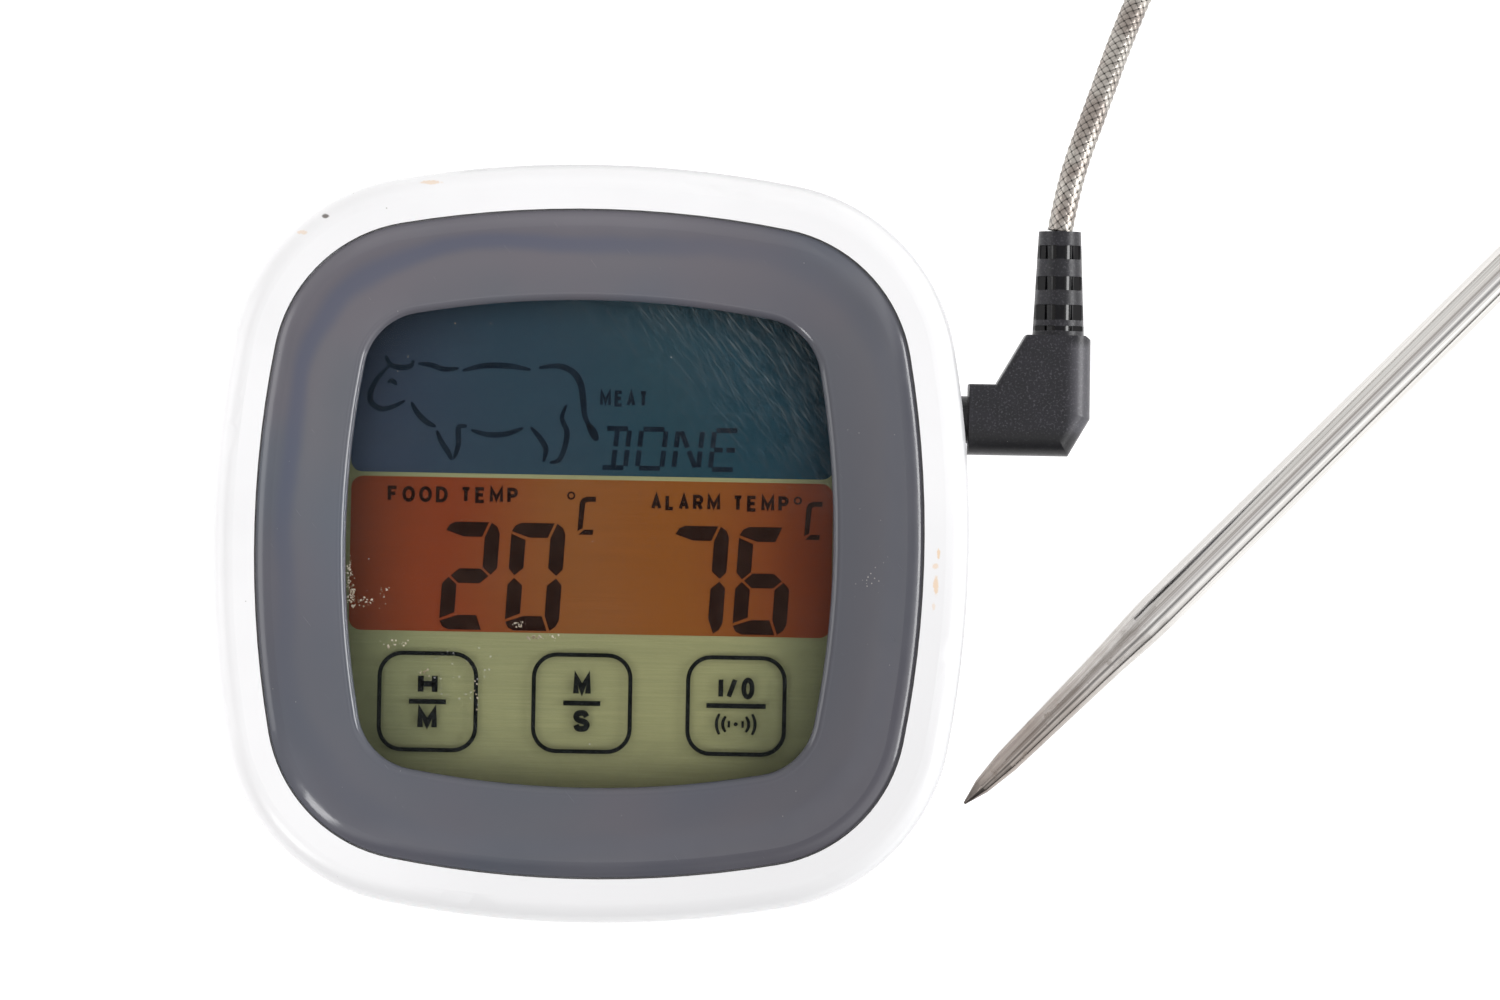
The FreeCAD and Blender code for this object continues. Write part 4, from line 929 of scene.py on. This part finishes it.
def starburst(ink, sign, left):
    """One letter of the fourteen-segment row, drawn with thin bars."""
    w, h, mid = STAR_WIDE, STAR_HIGH, STAR_HIGH / 2
    spots = {
        "a": ((0, h), (w, h)), "b": ((w, h), (w, mid)), "c": ((w, mid), (w, 0)),
        "d": ((0, 0), (w, 0)), "e": ((0, 0), (0, mid)), "f": ((0, mid), (0, h)),
        "g": ((0, mid), (w / 2, mid)), "k": ((w / 2, mid), (w, mid)),
        "i": ((w / 2, mid), (w / 2, h)), "l": ((w / 2, 0), (w / 2, mid)),
        "h": ((0.1 * w, h), (w / 2, mid)), "m": ((w / 2, mid), (0.9 * w, 0)),
    }
    for name in STARBURST[sign]:
        ends = [(left + x + y * 0.1, STAR_LOW + y) for x, y in spots[name]]
        ink.bar(*ends, 0.48, 0.17)


def celsius(ink, left, low):
    """A degree ring and a C made of display bars."""
    right, high = left + 2.8, low + 4.1
    ring_at = (left + 0.42, high - 0.36)
    ink.band(disc(*ring_at, 0.22, 20), disc(*ring_at, 0.4, 20))
    x, top = left + 0.95, high - 0.42
    lean = (top - low) * 0.06
    ink.polygon([(x + 0.12, low + 0.35), (x + 0.62, low + 0.6), (x + 0.62 + lean, top - 0.62),
                 (x + 0.9 + lean, top - 0.5), (right, top - 0.5), (right, top),
                 (x + 0.75 + lean, top), (x + 0.3 + lean, top - 0.2), (x + 0.08 + lean, top - 0.6)])
    ink.polygon([(x + 0.2, low), (right - 0.25, low), (right - 0.2, low + 0.5), (x + 0.75, low + 0.5)])


# each brush stroke of the cow: its width, then the points it goes through
BEAST = (
    # poll, face, eye, nape, back
    (0.42, (-19.9, 17.7), (-19.5, 16.9), (-18.6, 16.6), (-17.6, 16.7), (-17.2, 17.3)),
    (0.44, (-19.6, 16.7), (-20.6, 15.6), (-21.3, 14.2), (-21.2, 13.2), (-20.3, 12.6), (-19.2, 12.8),
     (-18.0, 13.4)),
    (0.34, (-19.7, 15.2), (-19.2, 15.3), (-18.8, 14.9)),
    (0.4, (-16.8, 17.0), (-15.6, 16.9), (-14.3, 16.5), (-12.9, 16.6)),
    (0.44, (-12.5, 16.4), (-10.4, 16.9), (-8.0, 16.9), (-6.0, 16.6)),
    # rump and tail, tassel
    (0.5, (-5.2, 16.8), (-3.4, 17.0), (-2.0, 16.5), (-1.2, 15.4), (-0.9, 13.8), (-0.7, 12.2), (-0.1, 11.0)),
    (0.62, (-0.4, 11.5), (0.1, 10.7), (0.5, 9.9)),
    # throat, foreleg, belly, hind leg
    (0.44, (-17.4, 13.3), (-16.8, 12.3), (-15.9, 11.4), (-15.0, 11.0)),
    (0.42, (-14.9, 10.6), (-14.4, 9.5), (-13.8, 8.6), (-13.4, 7.8)),
    (0.42, (-13.2, 7.9), (-12.8, 9.3), (-12.8, 10.9), (-12.0, 11.1)),
    (0.42, (-11.6, 10.7), (-10.0, 10.3), (-8.2, 10.4), (-6.6, 11.0)),
    (0.42, (-5.9, 11.1), (-5.0, 10.1), (-4.4, 9.0), (-4.6, 7.8)),
    (0.42, (-2.5, 13.3), (-2.9, 12.0), (-2.4, 10.7), (-2.6, 9.2), (-3.1, 8.0), (-4.0, 7.7)),
)


def cattle(ink):
    """A plain brush drawing of a cow, facing left."""
    for width, *points in BEAST:
        ink.stroke(points, width * 1.3)


KEYS = ((-15.3, -15.4), (-0.5, -15.3), (14.3, -15.3))
KEY_HALF = 4.83
# how far from its bar a letter starts and ends
LETTER_NEAR, LETTER_FAR = 0.65, 2.75


def keys_print(ink):
    """Three touch keys: an outline each, letters over and under a bar, and a sound sign."""
    for x, y in KEYS:
        outlines = []
        for inset in (0.4, 0.0):
            half = KEY_HALF - inset
            outlines.append(rounded_box(x - half, x + half, y - half, y + half, 2.4 - inset))
        ink.band(*outlines)
    for x, y, upper, lower, half in ((*KEYS[0], "H", "M", 0.95), (*KEYS[1], "M", "S", 0.85)):
        ink.text(upper, x - half, x + half, y + LETTER_NEAR, y + LETTER_FAR, 0.56)
        ink.bar((x - 1.78, y), (x + 1.78, y), 0.48)
        ink.text(lower, x - half, x + half, y - LETTER_FAR, y - LETTER_NEAR, 0.56)
    x, y = KEYS[2]
    ink.text("I/O", x - 1.65, x + 1.75, y + LETTER_NEAR, y + LETTER_FAR, 0.46)
    ink.bar((x - 2.85, y), (x + 2.85, y), 0.48)
    low = y - 1.75
    ink.polygon(disc(x, low, 0.2, 12))
    for side in (-1, 1):
        ink.bar((x + side * 0.66, low - 0.32), (x + side * 0.66, low + 0.32), 0.24)
        for reach, spread in ((1.25, 0.75), (1.85, 1.0)):
            arc = []
            for step in range(5):
                lean = (step / 4 - 0.5) * 2
                arc.append((x + side * (reach - 0.28 * lean * lean), low + spread * lean))
            ink.stroke(arc, 0.31, 0.7)


def make_display():
    """The zones, digits and signs on the glass, and the keys under the touch film."""
    blue = Print(ZONE_LOW, ZONE_HIGH)
    blue.polygon(rounded_box(-23.05, 23.25, 6.55, 25.9, 1.1))
    blue.finish("display_upper_zone", display_finish(
        "zone_blue", ((-22.0, (58, 67, 84)), (-6.0, (51, 70, 84)), (8.0, (43, 70, 82)),
                      (16.0, (32, 64, 78)), (23.5, (8, 44, 60))), 0.8, (2.6, 20.0, 31.0)), "display")
    orange = Print(ZONE_LOW, ZONE_HIGH)
    orange.polygon(rounded_box(-23.0, 23.25, -8.65, 6.15, 1.15))
    orange.finish("display_middle_zone", display_finish(
        "zone_orange", ((-22.5, (122, 60, 38)), (-14.0, (134, 62, 36)), (-2.0, (141, 86, 46)),
                        (8.0, (142, 83, 37)), (22.0, (124, 58, 34))), 0.33), "display")
    dark = Print(ZONE_HIGH, INK_HIGH)
    for sign, left in (("2", -14.4), ("0", -8.1), ("7", 7.6), ("6", 13.75)):
        seven_segment(dark, sign, left)
    celsius(dark, -2.3, 0.85)
    celsius(dark, 19.45, 0.75)
    dark.text("FOOD TEMP", -19.5, -7.0, 3.7, 5.25, 0.35)
    dark.text("ALARM TEMP", 5.8, 19.0, 3.35, 4.9, 0.35)
    dark.finish("display_digits", printed("ink_brown", (36, 17, 10)), "display")
    navy = Print(ZONE_HIGH, INK_HIGH)
    cattle(navy)
    navy.text("MEAT", 0.7, 5.3, 13.2, 14.75, 0.33)
    for index, letter in enumerate("DONE"):
        starburst(navy, letter, 0.9 + STAR_STEP * index)
    navy.finish("display_signs", printed("ink_navy", (16, 27, 39)), "display")
    black = Print(SENSOR_LOW_Z - 0.035, SENSOR_LOW_Z - 0.01)
    keys_print(black)
    black.finish("touch_key_print", printed("ink_black", (16, 18, 18)), "sensor_film")


# ---------------------------------------------------------------- crumbs on the front

def crumb(bm, at, size):
    """One irregular dried crumb."""
    made = bmesh.ops.create_icosphere(bm, subdivisions=3, radius=1.0)["verts"]
    shift = Vector((chance.random(), chance.random(), chance.random())) * 50
    for vertex in made:
        swell = 1 + 0.55 * noise.noise(vertex.co * 1.7 + shift) + 0.2 * noise.noise(vertex.co * 5 + shift)
        vertex.co = Vector(vertex.co) * swell
        vertex.co = Vector((vertex.co.x * size[0], vertex.co.y * size[1], vertex.co.z * size[2]))
    turn = chance.random() * TAU
    c, s = math.cos(turn), math.sin(turn)
    for vertex in made:
        x, y, z = vertex.co
        vertex.co = mm(at[0] + x * c - y * s, at[1] + x * s + y * c, at[2] + z)


# middle x and y, spread in x and in y in mm, and number of each group of crumbs
CRUMBS = (
    (-22.9, -3.4, 0.3, 2.6, 46), (-22.6, -5.4, 0.5, 2.0, 60), (-21.4, -5.9, 1.6, 0.6, 26),
    (-19.6, -4.9, 0.6, 1.2, 10), (-5.0, -9.0, 2.2, 0.3, 40), (-6.6, -7.7, 1.0, 0.5, 12),
    (-15.2, -12.6, 1.3, 0.8, 12), (-10.6, -15.0, 0.2, 2.4, 8), (-18.4, -9.9, 1.6, 0.5, 18),
    (-18.7, 16.2, 0.1, 0.1, 1), (-17.6, 17.6, 0.2, 0.2, 2), (-13.2, 20.9, 0.1, 0.1, 1),
    (-9.8, 20.9, 0.1, 0.1, 1), (-16.1, 22.6, 0.1, 0.1, 1),
)


def make_crumbs():
    """Dried crumbs in groups, half sunk into the window's face."""
    bm = bmesh.new()
    for x, y, wide, tall, count in CRUMBS:
        for _ in range(count):
            size = 0.025 + 0.07 * chance.random() ** 2
            at = (x + chance.gauss(0, 0.4) * wide, y + chance.gauss(0, 0.4) * tall, LENS_TOP_Z + size * 0.3)
            crumb(bm, at, (size * 1.3, size, size * 0.7))
    mesh = bpy.data.meshes.new("front_crumbs")
    bm.to_mesh(mesh)
    bm.free()
    s = Shader("dried_crumbs")
    s.mottle(1.2, (120, 104, 80), (186, 176, 158))
    material = s.finish(0.35, Normal=s.bump(s.noise(9.0, 3), 0.5, 0.02))
    add_piece("front_crumbs", mesh, material, "unit")


# ---------------------------------------------------------------- finishes of the CAD parts

def finish_parts():
    """Gives every CAD node its material."""
    white = housing_plastic()
    contact = bright_metal("nickel_contact", (206, 202, 192))
    black = moulded("black_plastic", (34, 34, 36), (26, 26, 28), 0.38)
    cream = moulded("frame_plastic", (206, 204, 192), (192, 190, 178), 0.4)
    plug = plug_plastic()
    finishes = {
        "front_housing": white, "back_housing": white, "battery_door": white, "stand": white,
        "bezel": bezel_plastic(),
        "touch_lens": clear_sheet("lens_clear", (0.95, 0.96, 0.96), lens_haze, 0.002),
        "touch_sensor": clear_sheet("sensor_clear", (0.97, 0.975, 0.97), film_haze, 0.0005, 0.1),
        "lcd_glass": display_finish(
            "zone_green", ((-22.0, (136, 137, 102)), (-9.0, (156, 154, 114)), (10.0, (159, 156, 114)),
                           (23.0, (142, 142, 106))), 0.47),
        "colour_film": moulded("film_tints", (150, 120, 90), (120, 110, 90), 0.3),
        "light_guide": moulded("light_guide", (232, 234, 226), (222, 226, 216), 0.15,
                               Transmission_Weight=0.4),
        "lcd_frame": cream,
        "zebra_strip": striped("zebra_layers", (30, 30, 32), (150, 140, 140), 0.25),
        "main_board": board_finish(),
        "controller_chip": black, "buzzer": black, "jack_socket": black, "plug_insulator": black,
        "power_slider": moulded("slider_plastic", (52, 53, 57), (44, 45, 49), 0.35),
        "unit_button": moulded("button_plastic", (60, 61, 66), (52, 53, 58), 0.35),
        "housing_screws": bright_metal("screw_steel", (172, 172, 176), 0.3),
        "board_screws": bright_metal("board_screw_steel", (180, 178, 170), 0.3),
        "battery_upper": battery_skin(), "battery_lower": battery_skin(),
        "battery_plates": contact, "battery_springs": contact,
        "plug_sleeve": contact, "plug_tip": contact,
        "hinge_pin": bright_metal("pin_steel", (186, 186, 188), 0.2),
        "magnets": bright_metal("magnet_nickel", (204, 202, 198), 0.14),
        "slide_switch": bright_metal("switch_tin", (178, 178, 176), 0.32),
        "tact_switch": bright_metal("key_tin", (178, 178, 176), 0.32),
        "plug_body": plug, "strain_relief": plug,
        "probe_seal": moulded("seal_rubber", (38, 37, 40), (30, 30, 33), 0.5, 8.0, 0.02),
        "probe_tube": probe_steel(),
        "thermistor": moulded("thermistor_glass", (64, 58, 50), (50, 46, 42), 0.2),
    }
    for name, material in finishes.items():
        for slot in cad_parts[name].material_slots:
            slot.material = material


# ---------------------------------------------------------------- floor and light

FLOOR_HALF = 4.0


def make_floor():
    """A wide sheet of white paper. It glows a little, as evenly lit paper seems to."""
    mesh = bpy.data.meshes.new("floor")
    corners = [(x * FLOOR_HALF, y * FLOOR_HALF, 0) for x, y in ((-1, -1), (1, -1), (1, 1), (-1, 1))]
    mesh.from_pydata(corners, [], [(0, 1, 2, 3)])
    floor = bpy.data.objects.new("floor", mesh)
    bpy.context.scene.collection.objects.link(floor)
    s = Shader("floor_paper")
    s.colour = s.mix(s.ramp(s.noise(0.02, 3), 0.3, 0.7), (0.78, 0.78, 0.78, 1), (0.81, 0.81, 0.81, 1))
    mesh.materials.append(s.finish(
        0.7, Specular_IOR_Level=0.1, Emission_Color=(1, 1, 1, 1), Emission_Strength=0.5))


LIGHT_TARGET = Vector((0.01, 0.0, 0.0))


def softbox(name, location, wide, tall, power):
    """A white area light in watts that faces the unit, its height towards the zenith."""
    data = bpy.data.lights.new(name, "AREA")
    data.shape = "RECTANGLE"
    data.size, data.size_y = wide, tall
    data.energy = power
    lamp = bpy.data.objects.new(name, data)
    lamp.location = location
    lamp.rotation_euler = (LIGHT_TARGET - lamp.location).to_track_quat("-Z", "Y").to_euler()
    lamp.visible_camera = False
    bpy.context.scene.collection.objects.link(lamp)


# degrees across the probe from the zenith, and the light's red, green and blue there
SKY = (
    (-90, 0.50, 0.50, 0.50), (-84, 0.24, 0.24, 0.24), (-77, 0.85, 0.85, 0.85), (-71, 2.10, 2.10, 2.11),
    (-42, 1.45, 1.45, 1.46), (-36, 0.75, 0.75, 0.76), (-30, 0.36, 0.36, 0.37), (-24, 0.45, 0.45, 0.46),
    (-18, 0.90, 0.90, 0.91), (-13, 1.50, 1.50, 1.51), (-7, 1.35, 1.35, 1.36), (-3, 0.90, 0.89, 0.90),
    (6, 0.95, 0.94, 0.96), (14, 0.75, 0.72, 0.71), (30, 0.62, 0.60, 0.59), (52, 0.86, 0.85, 0.84),
    (70, 1.10, 1.10, 1.10), (80, 1.15, 1.15, 1.15), (86, 0.75, 0.75, 0.75), (90, 0.50, 0.50, 0.50),
)


# the dark card fades out between these two y of a direction, from one strength to the other
CARD = (-0.9, -0.45, 0.09, 0.91)


def make_sky():
    """Long soft strips of light beside the probe, and a dark card along the front."""
    world = bpy.data.worlds.new("studio")
    world.use_nodes = True
    s = Nodes(world.node_tree)
    x, y, z = s.split(s.add("ShaderNodeTexCoord").outputs["Generated"])
    aside = s.plus(s.times(x, -math.sin(PROBE_ANGLE)), s.times(y, math.cos(PROBE_ANGLE)))
    lean = s.math("ARCTAN2", aside, s.math("MAXIMUM", z, 0.0))
    ramp = s.add("ShaderNodeValToRGB")
    elements = ramp.color_ramp.elements
    while len(elements) < len(SKY):
        elements.new(0.5)
    for element, (angle, *colour) in zip(elements, SKY):
        element.position = 0.5 + angle / 180
        element.color = (*colour, 1)
    s.feed(ramp.inputs[0], s.scaled(lean, 1 / math.pi, 0.5))
    background = s.tree.nodes["Background"]
    s.feed(background.inputs["Color"], ramp.outputs[0])
    s.feed(background.inputs["Strength"], s.ramp(y, *CARD))
    bpy.context.scene.world = world


def make_light():
    make_sky()
    bpy.context.scene.view_settings.view_transform = "Standard"
    softbox("key_right", (0.92, 0.0, 0.42), 0.62, 0.34, 5.6)
    softbox("top_back", (-0.1, 0.8, 1.0), 0.9, 0.6, 0.8)
    softbox("fill_left", (-0.9, 0.1, 0.4), 0.6, 0.6, 2.1)
    softbox("low_left", (-0.5, -0.5, 0.7), 0.16, 0.36, 1.6)


make_camera()
make_lead()
finish_parts()
make_display()
make_crumbs()
make_floor()
make_light()
